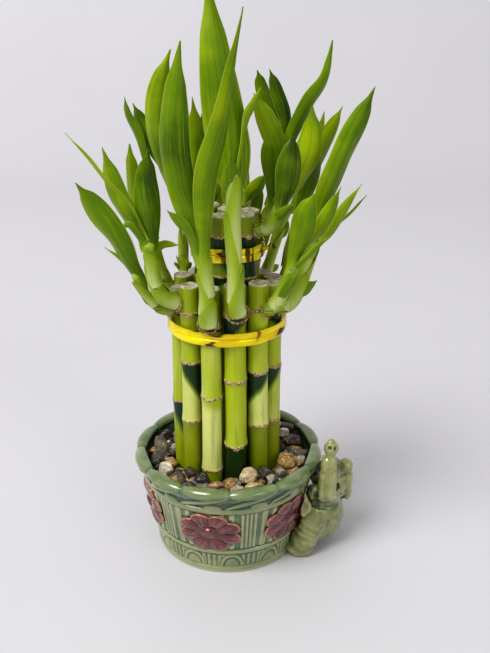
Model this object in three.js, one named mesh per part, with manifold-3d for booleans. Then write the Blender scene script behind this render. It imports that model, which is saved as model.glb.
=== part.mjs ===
// Lucky bamboo: two tied tiers of cut canes with leafy side shoots, standing in wet gravel in a
// basket-shaped glazed pot that carries raised flowers and a small elephant.
// Millimetres, +Z up, the pot's foot centred on the origin and the elephant on the +X side.
import * as THREE from 'three';
import { mergeVertices } from 'three/addons/utils/BufferGeometryUtils.js';
import Module from 'manifold-3d';

const wasm = await Module();
wasm.setup();

// ---- driving dimensions ----
const GAP = 0.3;               // clearance between neighbouring pieces

const POT_HEIGHT = 60;         // top of the rim
const FOOT_RADIUS = 40.4;
const SHOULDER_RADIUS = 48.6;  // wall just under the rim
const SHOULDER_HEIGHT = 47;
const RIM_RADIUS = 53;         // outer edge of the rim between its bulges
const RIM_INNER_RADIUS = 48.2;
const FLOOR_THICKNESS = 4;
const POT_SIDES = 48;
const RIM_LOBES = 12;          // bulging lengths of cane around the rim
const LOBE_BULGE = 1.8;
const LOBE_OFFSET = 2;         // azimuth of the first joint between two of them, degrees
const HOOP_HEIGHTS = [2.4, 15.5, 45];
const HOOP_RISE = 1.2;

const FLOWER_AZIMUTHS = [-12, -73, -133, 167, 48];
const FLOWER_HEIGHT = 30;      // centre of each flower above the table
const FLOWER_HALF_WIDTH = 18.6;
const FLOWER_HALF_HEIGHT = 14;
const PETALS = 8;

const LOWER_TIE_HEIGHT = 138.2;
const LOWER_TIE_HALF_WIDTH = 3.6;
const LOWER_BUNDLE_RADIUS = 31.4;
const UPPER_TIE_HEIGHT = 179.2;
const UPPER_TIE_HALF_WIDTH = 3.7;
const UPPER_RING_RADIUS = 12.6; // centres of the six canes round the middle one
const UPPER_CANE_RADIUS = 6.1;
const UPPER_CENTRE = [0.6, 0.3];
const CANE_FOOT_HEIGHT = FLOOR_THICKNESS + GAP;
const CANE_SIDES = 8;

const GRAVEL_HEIGHT = 51;
const PEBBLE_COUNT = 34;
const PEBBLE_SEED = 7;

const BLADE_THICKNESS = 0.7;
const BLADE_STRIDE = 22;       // length of blade to each bend across it, up to seven bends
const WIDEST = 0.5;            // how far along a blade it is at its widest
const BLADE_FOLD = 0.32;       // how far the edges fall behind the midrib, per half width

// ---- materials ----
const paint = (colour, roughness, metalness = 0) =>
  new THREE.MeshStandardMaterial({ color: colour, roughness, metalness });
const celadonGlaze = paint('#8fa878', 0.25);
const oliveGlaze = paint('#8e9a62', 0.25);
const maroonGlaze = paint('#7a3a3a', 0.3);
const wetStone = paint('#9a8a70', 0.5);
const caneSkin = paint('#a8c030', 0.4);
const leafGreen = paint('#5f9a1a', 0.4);
const goldFoil = paint('#e8c810', 0.25, 0.6);

// ---- small helpers ----
const radians = (degrees) => (degrees * Math.PI) / 180;
const clamp01 = (x) => Math.min(1, Math.max(0, x));
const smooth = (x) => clamp01(x) ** 2 * (3 - 2 * clamp01(x));
const mix = (a, b, t) => a + (b - a) * t;

// Horizontal direction at an azimuth, counted from the front (-Y) towards +X.
const outward = (azimuth) => new THREE.Vector3(Math.sin(radians(azimuth)), -Math.cos(radians(azimuth)), 0);

function seededRandom(seed) {
  let state = seed;
  return () => {
    state = (state * 16807) % 2147483647;
    return state / 2147483647;
  };
}

// A closed three.js geometry as a solid that can be joined and cut.
function solidOf(geometry) {
  const bare = geometry.clone();
  bare.deleteAttribute('normal');
  bare.deleteAttribute('uv');
  const merged = mergeVertices(bare, 1e-4);
  const vertProperties = new Float32Array(merged.attributes.position.array);
  const triVerts = new Uint32Array(merged.index.array);
  return new wasm.Manifold(new wasm.Mesh({ numProp: 3, vertProperties, triVerts }));
}

function geometryOf(solid) {
  const mesh = solid.getMesh();
  const geometry = new THREE.BufferGeometry();
  geometry.setAttribute('position', new THREE.BufferAttribute(new Float32Array(mesh.vertProperties), 3));
  geometry.setIndex(new THREE.BufferAttribute(new Uint32Array(mesh.triVerts), 1));
  geometry.computeVertexNormals();
  return geometry;
}

const join = (solids) => solids.reduce((sum, solid) => sum.add(solid));

function piece(name, solid, material) {
  const mesh = new THREE.Mesh(geometryOf(solid), material);
  mesh.name = name;
  return mesh;
}

// Moves every point of a geometry by a rule.
function reshape(geometry, rule) {
  const positions = geometry.attributes.position;
  const point = new THREE.Vector3();
  for (let i = 0; i < positions.count; i += 1) {
    point.fromBufferAttribute(positions, i);
    rule(point);
    positions.setXYZ(i, point.x, point.y, point.z);
  }
  return geometry;
}

// A solid of revolution about Z from [radius, height] pairs that start and end on the axis.
function turned(profile, sides) {
  const outline = profile.map(([radius, height]) => new THREE.Vector2(radius, height));
  return new THREE.LatheGeometry(outline, sides).rotateX(Math.PI / 2);
}

function cylinderAt(radius, x, y, low, high, sides = 24) {
  const height = high - low;
  const cylinder = new THREE.CylinderGeometry(radius, radius, height, sides).rotateX(Math.PI / 2);
  return solidOf(cylinder.translate(x, y, low + height / 2));
}

// A ball stretched to three radii, turned about Z and set in place.
function blob(centre, radii, turn = 0, sides = 8, rows = 5) {
  const ball = new THREE.SphereGeometry(1, sides, rows).rotateX(Math.PI / 2);
  return solidOf(ball.scale(...radii).rotateZ(radians(turn)).translate(...centre));
}

// Skins a row of closed loops with the same number of points, and caps both ends.
// Strips before `mirrorFrom` and after it are split along opposite diagonals, which makes the
// two faces of a thin blade fold along the same lines.
function loft(loops, mirrorFrom) {
  const count = loops[0].length;
  const corners = [];
  const triangle = (a, b, c) => corners.push(a, b, c);
  for (let i = 0; i + 1 < loops.length; i += 1) {
    for (let j = 0; j < count; j += 1) {
      const k = (j + 1) % count;
      const [a, b, c, d] = [loops[i][j], loops[i][k], loops[i + 1][k], loops[i + 1][j]];
      if (j < mirrorFrom) {
        triangle(a, b, c);
        triangle(a, c, d);
      } else {
        triangle(a, b, d);
        triangle(b, c, d);
      }
    }
  }
  const [first, last] = [loops[0], loops[loops.length - 1]];
  for (let j = 1; j + 1 < count; j += 1) {
    triangle(first[0], first[j + 1], first[j]);
    triangle(last[0], last[j], last[j + 1]);
  }
  return solidOf(new THREE.BufferGeometry().setFromPoints(corners).setIndex([...corners.keys()]));
}

// ---- the pot ----
function wallRadius(height) {
  return mix(FOOT_RADIUS, SHOULDER_RADIUS, height / SHOULDER_HEIGHT);
}

// 1 where a flower or the elephant sits on the wall, which is plain there, fading to 0 around it.
function seat(azimuth, height) {
  const spots = FLOWER_AZIMUTHS.map((centre) => [centre, FLOWER_HEIGHT, FLOWER_HALF_WIDTH, FLOWER_HALF_HEIGHT]);
  spots.push([84, 18, 27, 26]);
  let cover = 0;
  for (const [centre, middle, halfWidth, halfHeight] of spots) {
    const turn = ((azimuth - centre + 540) % 360) - 180;
    const across = (radians(turn) * wallRadius(height)) / (halfWidth + 3);
    const reach = Math.hypot(across, (height - middle) / (halfHeight + 3));
    cover = Math.max(cover, 1 - smooth((reach - 1) / 0.3));
  }
  return cover;
}

// Raised pattern of the wall: three hoops, upright staves, arches at the foot, a weave at the top.
function wallRelief(azimuth, height) {
  const hoops = HOOP_HEIGHTS.map((centre) => 1 - smooth(Math.abs(height - centre) / 2.2));
  const hoop = HOOP_RISE * Math.max(...hoops);
  const staves = height > 17.5 && height < 43 ? 0.35 * Math.cos(radians((azimuth - LOBE_OFFSET) * 24)) : 0;
  const arches = height > 5 && height < 13.5 ? 0.5 * Math.cos(radians((azimuth - LOBE_OFFSET) * 12)) : 0;
  const weave = height > 47 && height < 52 ? 0.6 * Math.cos(radians((azimuth - LOBE_OFFSET) * 12 + height * 30)) : 0;
  return (hoop + staves + arches + weave) * (1 - seat(azimuth, height));
}

function rimLobe(azimuth) {
  return Math.abs(Math.sin(radians((azimuth - LOBE_OFFSET) * RIM_LOBES * 0.5))) ** 0.6;
}

function makePot() {
  const outerRows = [0, 1.2, 3.8, 5.2, 9.5, 13.2, 14.6, 16.4, 17.8, 42.2, 44, 46, 47.6, 50.5];
  const profile = [[0, 0]];
  for (const height of outerRows) {
    profile.push([wallRadius(height), height]);
  }
  profile.push([RIM_RADIUS - 1, 52], [RIM_RADIUS, 55.5], [RIM_RADIUS - 1.2, 59]);
  profile.push([RIM_RADIUS - 3, POT_HEIGHT], [RIM_INNER_RADIUS, 57.5]);
  profile.push([46.2, 50], [40.5, 12], [37, FLOOR_THICKNESS], [0, FLOOR_THICKNESS]);
  const blank = turned(profile, POT_SIDES).rotateZ(radians(LOBE_OFFSET));
  return solidOf(reshape(blank, (point) => {
    const radius = Math.hypot(point.x, point.y);
    const azimuth = (Math.atan2(point.x, -point.y) * 180) / Math.PI;
    const onWall = radius > wallRadius(point.z) - 1 && point.z > 0;
    let push = onWall && point.z < 51 ? wallRelief(azimuth, point.z) : 0;
    if (point.z >= 51 && radius > RIM_INNER_RADIUS - 1) {
      push = LOBE_BULGE * (rimLobe(azimuth) - 0.5);
    }
    const scale = radius > 1 ? (radius + push) / radius : 1;
    point.x *= scale;
    point.y *= scale;
    if (point.z > 58.5) {
      point.z += 1.2 * (rimLobe(azimuth) - 1);
    }
  }));
}

// ---- the flowers on the pot ----
// A dished rosette of rounded petals around a button, wrapped on the sloping wall. A margin makes
// the slightly larger space that a neighbour leaves clear for it.
function makeFlower(azimuth, margin = 0) {
  const profile = [[0, 0], [0.5, 0], [0.95, 0], [0.9, 1.8], [0.5, 2.3], [0.27, 1.2], [0.2, 2.7], [0, 3]];
  const rosette = reshape(turned(profile, PETALS * 3), (point) => {
    const reach = Math.hypot(point.x, point.y);
    const turn = Math.atan2(point.y, point.x);
    const notch = Math.abs(Math.sin((turn * PETALS) / 2)) ** 0.7;
    const shrink = reach > 0.3 ? mix(1, mix(0.8, 1, notch), smooth((reach - 0.3) / 0.5)) : 1;
    const ridge = reach > 0.4 && point.z > 1 ? mix(0.55, 1, notch) : 1;
    const across = point.x * shrink * (FLOWER_HALF_WIDTH + margin);
    const height = FLOWER_HEIGHT + point.y * shrink * (FLOWER_HALF_HEIGHT + margin);
    const lift = point.z > 0.1 ? point.z * ridge + margin : -margin;
    const radius = wallRadius(height) + GAP + 0.1 + lift;
    const spot = outward(azimuth + (across / wallRadius(height)) * (180 / Math.PI));
    point.set(spot.x * radius, spot.y * radius, height);
  });
  return solidOf(rosette);
}

// ---- the elephant, hugging the pot and facing forward ----
const TRUNK_PATH = [[59, -14, 33], [59, -22, 32], [58.6, -23, 40], [58.5, -21, 50], [58.5, -18.5, 58], [58.5, -18, 64]];
const TRUNK_RADII = [5.2, 5.5, 5.0, 4.7, 4.2, 3.6];

function makeElephant() {
  const torso = [
    blob([54.5, -7, 19.5], [13.2, 14, 16.5], 0, 10, 7),
    blob([54, 7, 14], [12, 11, 13.6], 0, 10, 6),
    blob([58.5, -8, 42], [9.5, 9.5, 12], 0, 10, 6),
  ];
  const limbs = [
    blob([45.5, -19.5, 16], [8.8, 8, 11.5]),
    blob([42.6, -22, 4.4], [9, 7.5, 5.8]),
    blob([50, -18, 27], [8.5, 10, 11]),
    blob([57, 13, 5], [9, 7.5, 7]),
  ];
  const ears = [
    blob([64.5, -6, 41], [5, 5, 12.5]),
    blob([67.4, -8, 48.2], [5, 4.2, 5.8]),
    blob([67.8, -8.5, 39.4], [4.2, 4, 6.6]),
    blob([67.4, -8.5, 30.6], [4.2, 3.8, 6.4]),
    blob([55, -3.5, 42], [4, 5.5, 10], -15),
  ];
  const face = [
    loft(tubeLoops(TRUNK_PATH, TRUNK_RADII, 6), 6),
    blob([58.4, -18, 66], [4.6, 4.4, 5.6]),
    blob([52.4, -19.5, 40], [3.6, 4, 4]),
    blob([57, -14, 34], [8.5, 8, 5.5]),
    blob([44.6, -25.5, 34], [4, 3.2, 6]),
  ];
  const nostrils = [-1.9, 1.9].map((side) => blob([58.4 + side, -22.4, 66.4], [0.9, 1.6, 1.5], 0, 6, 4));
  const eye = blob([65.6, -14.6, 39], [1.2, 2, 1.5], 0, 6, 4);
  const potSpace = solidOf(turned([
    [0, -2], [wallRadius(-2) + 0.6, -2], [wallRadius(43) + 0.6, 43], [wallRadius(43) + 1.8, 43.2],
    [SHOULDER_RADIUS + 2, 50], [RIM_RADIUS + 1.3, 52], [RIM_RADIUS + 1.3, 62], [0, 62],
  ], POT_SIDES));
  const table = new THREE.BoxGeometry(200, 200, 20).translate(0, 0, -10);
  const flowerSpace = makeFlower(FLOWER_AZIMUTHS[4], 0.5);
  const figure = join([...torso, ...limbs, ...ears, ...face]);
  const cuts = [...nostrils, eye, potSpace, flowerSpace, solidOf(table)];
  return cuts.reduce((rest, cut) => rest.subtract(cut), figure);
}

// ---- canes ----
// Lower tier, clockwise from the left: radius, cut height, heights of the leaf-scar rings.
const LOWER_CANES = [
  { azimuth: -79, radius: 6.1, top: 158, rings: [92, 146] },
  { azimuth: -49, radius: 6.0, top: 163.5, rings: [85.5, 121, 149.5] },
  { azimuth: -19, radius: 6.2, top: 164, rings: [59, 103, 144] },
  { azimuth: 11, radius: 6.5, top: 166, rings: [75, 113.5, 150] },
  { azimuth: 42, radius: 6.2, top: 165.5, rings: [84, 116.5, 152] },
  { azimuth: 71.5, radius: 6.0, top: 162, rings: [82, 115, 149] },
  { azimuth: 101, radius: 6.1, top: 161, rings: [70, 108, 149] },
  { azimuth: 131, radius: 6.3, top: 160, rings: [64, 98, 148] },
  { azimuth: 161, radius: 6.0, top: 158, rings: [88, 141] },
  { azimuth: -169, radius: 6.2, top: 161, rings: [74, 110, 140] },
  { azimuth: -139, radius: 6.1, top: 160, rings: [66, 104, 149] },
  { azimuth: -109, radius: 6.0, top: 161, rings: [95, 149] },
];
const UPPER_CANES = [
  { azimuth: -12, top: 199.5, rings: [168, 189.5] },
  { azimuth: 48, top: 199, rings: [166, 189] },
  { azimuth: 108, top: 198, rings: [170, 191] },
  { azimuth: 168, top: 199, rings: [165, 188] },
  { azimuth: -132, top: 200, rings: [169, 188] },
  { azimuth: -72, top: 198, rings: [166, 182] },
];

function placeCanes() {
  const lower = LOWER_CANES.map((cane, index) => {
    const centre = outward(cane.azimuth).multiplyScalar(LOWER_BUNDLE_RADIUS - cane.radius);
    return { ...cane, name: `cane_lower_${index + 1}`, x: centre.x, y: centre.y };
  });
  const upper = UPPER_CANES.map((cane, index) => {
    const centre = outward(cane.azimuth).multiplyScalar(UPPER_RING_RADIUS);
    const [x, y] = [centre.x + UPPER_CENTRE[0], centre.y + UPPER_CENTRE[1]];
    return { ...cane, name: `cane_upper_${index + 1}`, radius: UPPER_CANE_RADIUS, x, y };
  });
  const middle = { name: 'cane_upper_7', top: 200, rings: [187], radius: UPPER_CANE_RADIUS };
  return [...lower, ...upper, { ...middle, x: UPPER_CENTRE[0], y: UPPER_CENTRE[1] }];
}

function makeCane({ radius, top, rings, x, y }) {
  const profile = [[0, CANE_FOOT_HEIGHT], [radius - 0.3, CANE_FOOT_HEIGHT]];
  for (const ring of rings) {
    profile.push([radius - 0.4, ring - 1.2], [radius, ring]);
  }
  profile.push([radius - 0.3, top - 1.5], [radius - 0.5, top], [radius - 1.6, top + 0.3], [0, top - 0.5]);
  return solidOf(turned(profile, CANE_SIDES).translate(x, y, 0));
}

// ---- gold ties ----
// Two ribbon strips side by side with a seam between them.
function makeTie(radius, height, halfWidth, centre) {
  const [low, seam, high] = [height - halfWidth, height, height + halfWidth];
  const outline = [
    [radius, low], [radius + 0.8, low], [radius + 1, mix(low, seam, 0.7)], [radius + 0.6, seam],
    [radius + 0.9, high], [radius, high], [radius, low],
  ];
  return solidOf(turned(outline, 24).translate(centre[0], centre[1], 0));
}

const TWIST_TAIL = [[19, -7, 180], [21.5, -8.5, 181], [24, -9.2, 182.5], [25.5, -10.5, 181]];

function makeUpperTie() {
  const band = makeTie(UPPER_RING_RADIUS + UPPER_CANE_RADIUS + GAP, UPPER_TIE_HEIGHT, UPPER_TIE_HALF_WIDTH,
    UPPER_CENTRE);
  const tail = loft(tubeLoops(TWIST_TAIL, [1.4, 1, 1.3, 0.7], 5), 5);
  return band.add(tail);
}

// ---- gravel ----
function makeGravel(canes) {
  const bed = turned([[0, 12.5], [39.8, 12.5], [45.4, GRAVEL_HEIGHT], [0, GRAVEL_HEIGHT]], 24);
  const random = seededRandom(PEBBLE_SEED);
  const pebbles = [];
  for (let i = 0; i < PEBBLE_COUNT; i += 1) {
    const spot = outward((i * 360 * 0.382) % 360).multiplyScalar(mix(34.5, 40.5, random()));
    const size = mix(4.2, 6.6, random());
    const radii = [size * mix(0.9, 1.25, random()), size, size * mix(0.65, 0.85, random())];
    const centre = [spot.x, spot.y, GRAVEL_HEIGHT + mix(0.5, 4, random())];
    const stone = new THREE.IcosahedronGeometry(1, 0).scale(...radii).rotateZ(random() * Math.PI);
    pebbles.push(solidOf(stone.translate(...centre)));
  }
  const heap = join([solidOf(bed), ...pebbles]);
  const outerCanes = canes.slice(0, LOWER_CANES.length);
  const wells = outerCanes.map((cane) => cylinderAt(cane.radius + GAP, cane.x, cane.y, 0, 80, 10));
  wells.push(cylinderAt(LOWER_BUNDLE_RADIUS - 6, 0, 0, 0, 80, 12));
  const bowl = turned([[0, 12], [40, 12], [45.8, 50], [47.4, 56], [47.4, 70], [0, 70]], 24);
  return solidOf(bowl).intersect(heap).subtract(join(wells));
}

// ---- leafy shoots ----
function curveThrough(points) {
  return new THREE.CatmullRomCurve3(points.map((p) => new THREE.Vector3(...p)), false, 'catmullrom', 0.5);
}

// Rings around a path, kept upright so that they never twist.
function tubeLoops(path, radii, sides) {
  const curve = curveThrough(path);
  return radii.map((radius, row) => {
    const t = row / (radii.length - 1);
    const along = curve.getTangent(t);
    const side = new THREE.Vector3().crossVectors(along, outward(0)).normalize();
    const front = new THREE.Vector3().crossVectors(side, along);
    const centre = curve.getPoint(t);
    return Array.from({ length: sides }, (_, j) => {
      const angle = (-2 * Math.PI * j) / sides;
      const spoke = side.clone().multiplyScalar(Math.cos(angle) * radius);
      return spoke.addScaledVector(front, Math.sin(angle) * radius).add(centre);
    });
  });
}

// Width of a lance-shaped blade along its length as a share of its greatest width.
function lance(t, widest) {
  const tail = clamp01((t - widest) / (1 - widest));
  return Math.max(0.04, mix(0.45, 1, smooth(t / widest)) * (1 - tail) ** 0.75 * (1 + 0.6 * tail));
}

// A folded blade along a path. Its broad face turns from one azimuth to the other along the way.
function makeBlade({ path, width, face, widest = WIDEST }) {
  const curve = curveThrough(path);
  const steps = Math.round(Math.min(7, 2 + curve.getLength() / BLADE_STRIDE));
  const loops = [];
  for (let row = 0; row <= steps; row += 1) {
    const t = row / steps;
    const facing = outward(mix(face[0], face[1], t * t));
    const side = new THREE.Vector3().crossVectors(curve.getTangent(t), facing).normalize();
    const normal = new THREE.Vector3().crossVectors(side, curve.getTangent(t)).normalize();
    const half = (width / 2) * lance(t, widest);
    const at = (across, lift) => {
      const fall = Math.abs(across) * half * BLADE_FOLD;
      return curve.getPoint(t).addScaledVector(side, across * half).addScaledVector(normal, lift - fall);
    };
    const lift = BLADE_THICKNESS / 2;
    loops.push([at(-1, lift), at(0, lift), at(1, lift), at(1, -lift), at(0, -lift), at(-1, -lift)]);
  }
  return loft(loops, 3);
}

// Each shoot: the path and radii of its stem, then its leaves by path, width and facing azimuths.
const SHOOTS = {
  front_left: {
    stem: [[-9, -31, 147], [-9, -34, 156], [-9, -36, 167], [-10, -37, 179], [-10, -38, 191]],
    radii: [4.6, 4.3, 3.4, 3.5, 3.2],
    leaves: [
      { path: [[-10, -38, 183], [-10, -41, 202], [-8, -44, 224], [-2, -45, 245], [3, -44, 267], [9, -41, 299]],
        width: 12.5, face: [0, 75] },
      { path: [[-11, -37, 180], [-16, -35, 200], [-22, -33, 222], [-24, -31, 240], [-23, -28, 260], [-20, -24, 284]],
        width: 16.5, face: [-15, 0] },
      { path: [[-10, -39, 180], [-17, -41, 198], [-22, -41, 204], [-27, -41, 209]], width: 5, face: [-20, -20] },
    ],
  },
  front_centre: {
    stem: [[6, -31, 153], [5, -34, 161], [5, -35, 177], [4, -35, 198], [4, -34, 215], [4, -33, 226]],
    radii: [4.9, 4.4, 3.9, 3.8, 3.6, 2.6],
    leaves: [
      { path: [[4, -33, 212], [3, -30, 228], [0, -27, 253], [-4, -22, 280], [-8, -12, 314]],
        width: 20.5, face: [0, 0], widest: 0.36 },
      { path: [[5, -33, 215], [8, -31, 236], [11, -27, 250], [14, -24, 256], [17, -22, 263]],
        width: 6, face: [80, 60] },
      { path: [[4, -34, 208], [3, -36, 220], [2, -38, 232]], width: 8, face: [0, 0] },
    ],
  },
  left_front: {
    stem: [[-25, -19, 154], [-32, -22, 159], [-36, -24, 169], [-37, -25, 185], [-39, -26, 196]],
    radii: [3.6, 4.2, 3.0, 3.0, 3.6],
    leaves: [
      { path: [[-37, -26, 184], [-37, -28, 200], [-38, -30, 219], [-36, -30, 236]], width: 13, face: [0, 0] },
      { path: [[-39, -25, 185], [-45, -24, 197], [-53, -22, 212], [-59, -20, 235]], width: 12, face: [-25, -25] },
      { path: [[-39, -27, 190], [-45, -30, 207], [-56, -31, 220], [-65, -30, 232], [-75, -28, 243]],
        width: 5, face: [-80, -60] },
      { path: [[-39, -28, 188], [-44, -30, 195], [-47, -31, 199], [-50, -31, 199]], width: 4.5, face: [-30, -30] },
      { path: [[-36, -22, 173], [-35, -20, 182], [-31, -20, 186], [-23, -21, 186]], width: 4.5, face: [0, 0] },
    ],
  },
  left_low: {
    stem: [[-29, -8, 146], [-35, -12, 149], [-42, -15, 158], [-47, -17, 169]],
    radii: [3.0, 2.6, 2.5, 2.4],
    leaves: [
      { path: [[-42, -15, 158], [-49, -18, 174], [-56, -21, 191], [-65, -22, 206], [-73, -22, 218]],
        width: 14.5, face: [-25, -20] },
      { path: [[-44, -15, 161], [-52, -15, 174], [-62, -15, 183]], width: 3.5, face: [-40, -40] },
      { path: [[-32, -10, 146], [-37, -14, 150], [-44, -17, 156]], width: 4.5, face: [-20, -20] },
    ],
  },
  left_back: {
    stem: [[-29, 8, 152], [-33, 8, 157], [-36, 6, 168], [-39, 3, 184]],
    radii: [2.8, 3.2, 2.8, 2.6],
    leaves: [
      { path: [[-38, 4, 176], [-44, 0, 196], [-47, -4, 215], [-48, -6, 234]], width: 10, face: [-10, -10] },
      { path: [[-38, 3, 182], [-40, 2, 211], [-44, 2, 235], [-49, 2, 247], [-50, 0, 256]],
        width: 6, face: [-50, -40] },
    ],
  },
  back_left: {
    stem: [[-24, 24, 152], [-25, 27, 162], [-25, 28, 174], [-23, 26, 189]],
    radii: [3.0, 2.9, 2.8, 2.4],
    leaves: [
      { path: [[-24, 27, 178], [-19, 24, 204], [-16, 20, 229], [-17, 16, 254]], width: 12, face: [10, 10] },
      { path: [[-24, 28, 183], [-23, 30, 202], [-24, 30, 224]], width: 7, face: [0, 0] },
      { path: [[-25, 26, 154], [-28, 24, 159], [-30, 23, 163]], width: 3.5, face: [-30, -30] },
      { path: [[-25, 26, 154], [-22, 25, 159], [-21, 24, 163]], width: 3.5, face: [30, 30] },
    ],
  },
  back_centre_left: {
    stem: [[-3, 30, 143], [-4, 35, 154], [-5, 38, 171], [-5, 39, 186]],
    radii: [3.6, 3.0, 2.9, 2.4],
    leaves: [
      { path: [[-5, 39, 174], [-8, 42, 200], [-11, 44, 227], [-8, 44, 257]], width: 13, face: [180, 180] },
      { path: [[-4, 39, 168], [0, 45, 193], [4, 50, 215]], width: 10, face: [170, 170] },
      { path: [[-5, 36, 159], [-9, 44, 173], [-16, 52, 191]], width: 9, face: [200, 200] },
    ],
  },
  back_centre_right: {
    stem: [[12, 29, 144], [13, 34, 155], [13, 36, 172], [12, 37, 186]],
    radii: [3.6, 3.0, 2.9, 2.4],
    leaves: [
      { path: [[12, 37, 175], [7, 38, 201], [5, 36, 229], [4, 34, 250]], width: 12, face: [180, 180] },
      { path: [[12, 38, 168], [15, 44, 185], [20, 48, 201]], width: 8, face: [160, 160] },
      { path: [[13, 35, 159], [20, 42, 170], [27, 46, 184]], width: 8, face: [150, 150] },
    ],
  },
  right_back: {
    stem: [[20, 20, 152], [22, 24, 158], [26, 25, 172], [30, 24, 186], [36, 22, 196]],
    radii: [3.0, 3.0, 2.7, 2.6, 2.4],
    leaves: [
      { path: [[35, 22, 192], [46, 18, 216], [53, 14, 235], [60, 12, 250]], width: 9, face: [20, 25] },
      { path: [[28, 25, 175], [32, 26, 180], [34, 26, 186]], width: 5, face: [10, 10] },
      { path: [[23, 24, 157], [26, 26, 158], [29, 27, 160]], width: 4, face: [20, 20] },
    ],
  },
  right_rear: {
    stem: [[27, 5, 152], [31, 8, 157], [33, 9, 167], [35, 9, 181], [39, 8, 196]],
    radii: [3.0, 3.0, 2.9, 2.8, 2.4],
    leaves: [
      { path: [[38, 8, 190], [42, 5, 208], [45, 2, 222], [47, 1, 232]], width: 10, face: [10, 10] },
      { path: [[38, 9, 194], [44, 9, 215], [48, 8, 234], [50, 7, 248]], width: 6, face: [50, 50] },
    ],
  },
  right_front: {
    stem: [[21, -22, 152], [26, -26, 157], [30, -27, 166], [33, -28, 177], [36, -28, 188]],
    radii: [3.8, 3.8, 3.2, 3.0, 2.6],
    leaves: [
      { path: [[27, -28, 156], [31, -31, 165], [36, -32, 175]], width: 8, face: [20, 20] },
      { path: [[33, -29, 177], [37, -31, 192], [39, -32, 204], [43, -32, 215]], width: 12, face: [5, 5] },
      { path: [[33, -30, 175], [40, -31, 182], [50, -31, 193]], width: 5, face: [45, 45] },
      { path: [[35, -27, 184], [44, -26, 192], [51, -24, 203], [57, -22, 216]], width: 8, face: [25, 25] },
    ],
  },
  right_low: {
    stem: [[27, -9, 147], [33, -12, 151], [38, -14, 161], [41, -15, 173], [45, -15, 187]],
    radii: [3.0, 3.4, 3.6, 3.6, 3.0],
    leaves: [
      { path: [[44, -15, 184], [49, -14, 205], [57, -12, 225], [65, -10, 244], [73, -8, 262]],
        width: 14, face: [20, 15] },
      { path: [[43, -16, 179], [52, -17, 190], [60, -17, 204], [68, -16, 216]], width: 6.5, face: [40, 40] },
      { path: [[44, -13, 181], [54, -11, 191], [64, -8, 199], [72, -6, 208]], width: 4, face: [70, 60] },
      { path: [[33, -13, 150], [40, -16, 159], [47, -17, 166]], width: 6, face: [30, 30] },
    ],
  },
  upper_front: {
    stem: [[16, -12, 191], [22, -15, 194], [25, -17, 201], [28, -17, 208]],
    radii: [2.8, 3.2, 3.2, 2.6],
    leaves: [
      { path: [[27, -18, 203], [30, -20, 216], [32, -21, 229], [33, -20, 241]], width: 12.5, face: [5, 5] },
      { path: [[28, -15, 205], [36, -12, 219], [42, -10, 234], [43, -8, 253]], width: 14, face: [10, 10] },
      { path: [[22, -18, 195], [28, -21, 202], [34, -22, 207]], width: 5.5, face: [20, 20] },
    ],
  },
  upper_right: {
    stem: [[19, 4, 191], [22, 3, 197], [24, 2, 206], [27, 1, 221]],
    radii: [2.6, 2.8, 2.6, 2.2],
    leaves: [
      { path: [[27, 1, 215], [33, 0, 236], [41, -2, 253], [49, -3, 266], [52, -3, 283]],
        width: 8.5, face: [15, 45] },
      { path: [[26, -1, 217], [26, -4, 231], [20, -8, 246], [14, -10, 259]], width: 11, face: [10, 0] },
      { path: [[27, 1, 214], [26, 7, 241], [19, 10, 258], [16, 10, 268]], width: 8, face: [0, 0] },
      { path: [[28, 2, 219], [31, 3, 242], [26, 4, 258], [22, 5, 269]], width: 7.5, face: [30, 20] },
      { path: [[24, 1, 199], [23, -4, 217], [22, -5, 231], [24, -4, 242]], width: 8.5, face: [0, 0] },
    ],
  },
  upper_left: {
    stem: [[-17, -1, 186], [-20, -2, 190], [-22, -3, 198], [-24, -4, 210]],
    radii: [2.8, 2.8, 2.6, 2.2],
    leaves: [
      { path: [[-24, -4, 202], [-30, -6, 223], [-34, -8, 244], [-32, -8, 261], [-26, -6, 279]],
        width: 14, face: [-10, -5] },
      { path: [[-24, -2, 205], [-32, 2, 222], [-39, 5, 234], [-44, 8, 244], [-47, 8, 252]],
        width: 9, face: [-20, -20] },
    ],
  },
  upper_back_left: {
    stem: [[-8, 15, 189], [-9, 18, 197], [-8, 20, 207]],
    radii: [2.8, 2.6, 2.0],
    leaves: [
      { path: [[-9, 19, 195], [-6, 20, 207], [-3, 20, 226], [-5, 18, 247]], width: 10, face: [0, 0] },
      { path: [[-9, 20, 199], [-8, 30, 217], [-8, 35, 238]], width: 9, face: [180, 180] },
    ],
  },
  upper_back_right: {
    stem: [[7, 17, 190], [9, 19, 197], [9, 21, 204]],
    radii: [2.8, 2.6, 2.0],
    leaves: [
      { path: [[9, 19, 194], [13, 19, 203], [17, 18, 208], [21, 17, 214]], width: 8, face: [10, 20] },
      { path: [[9, 21, 196], [6, 26, 220], [3, 30, 246]], width: 10, face: [170, 180] },
    ],
  },
};

function makeShoot({ stem, radii, leaves }, keepClear) {
  const grown = [loft(tubeLoops(stem, radii, 6), 6), ...leaves.map(makeBlade)];
  return join(grown).subtract(keepClear);
}

// ---- the whole plant in its pot ----
const bamboo = new THREE.Group();
const canes = placeCanes();
const lowerTie = makeTie(LOWER_BUNDLE_RADIUS + GAP, LOWER_TIE_HEIGHT, LOWER_TIE_HALF_WIDTH, [0, 0]);

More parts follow.
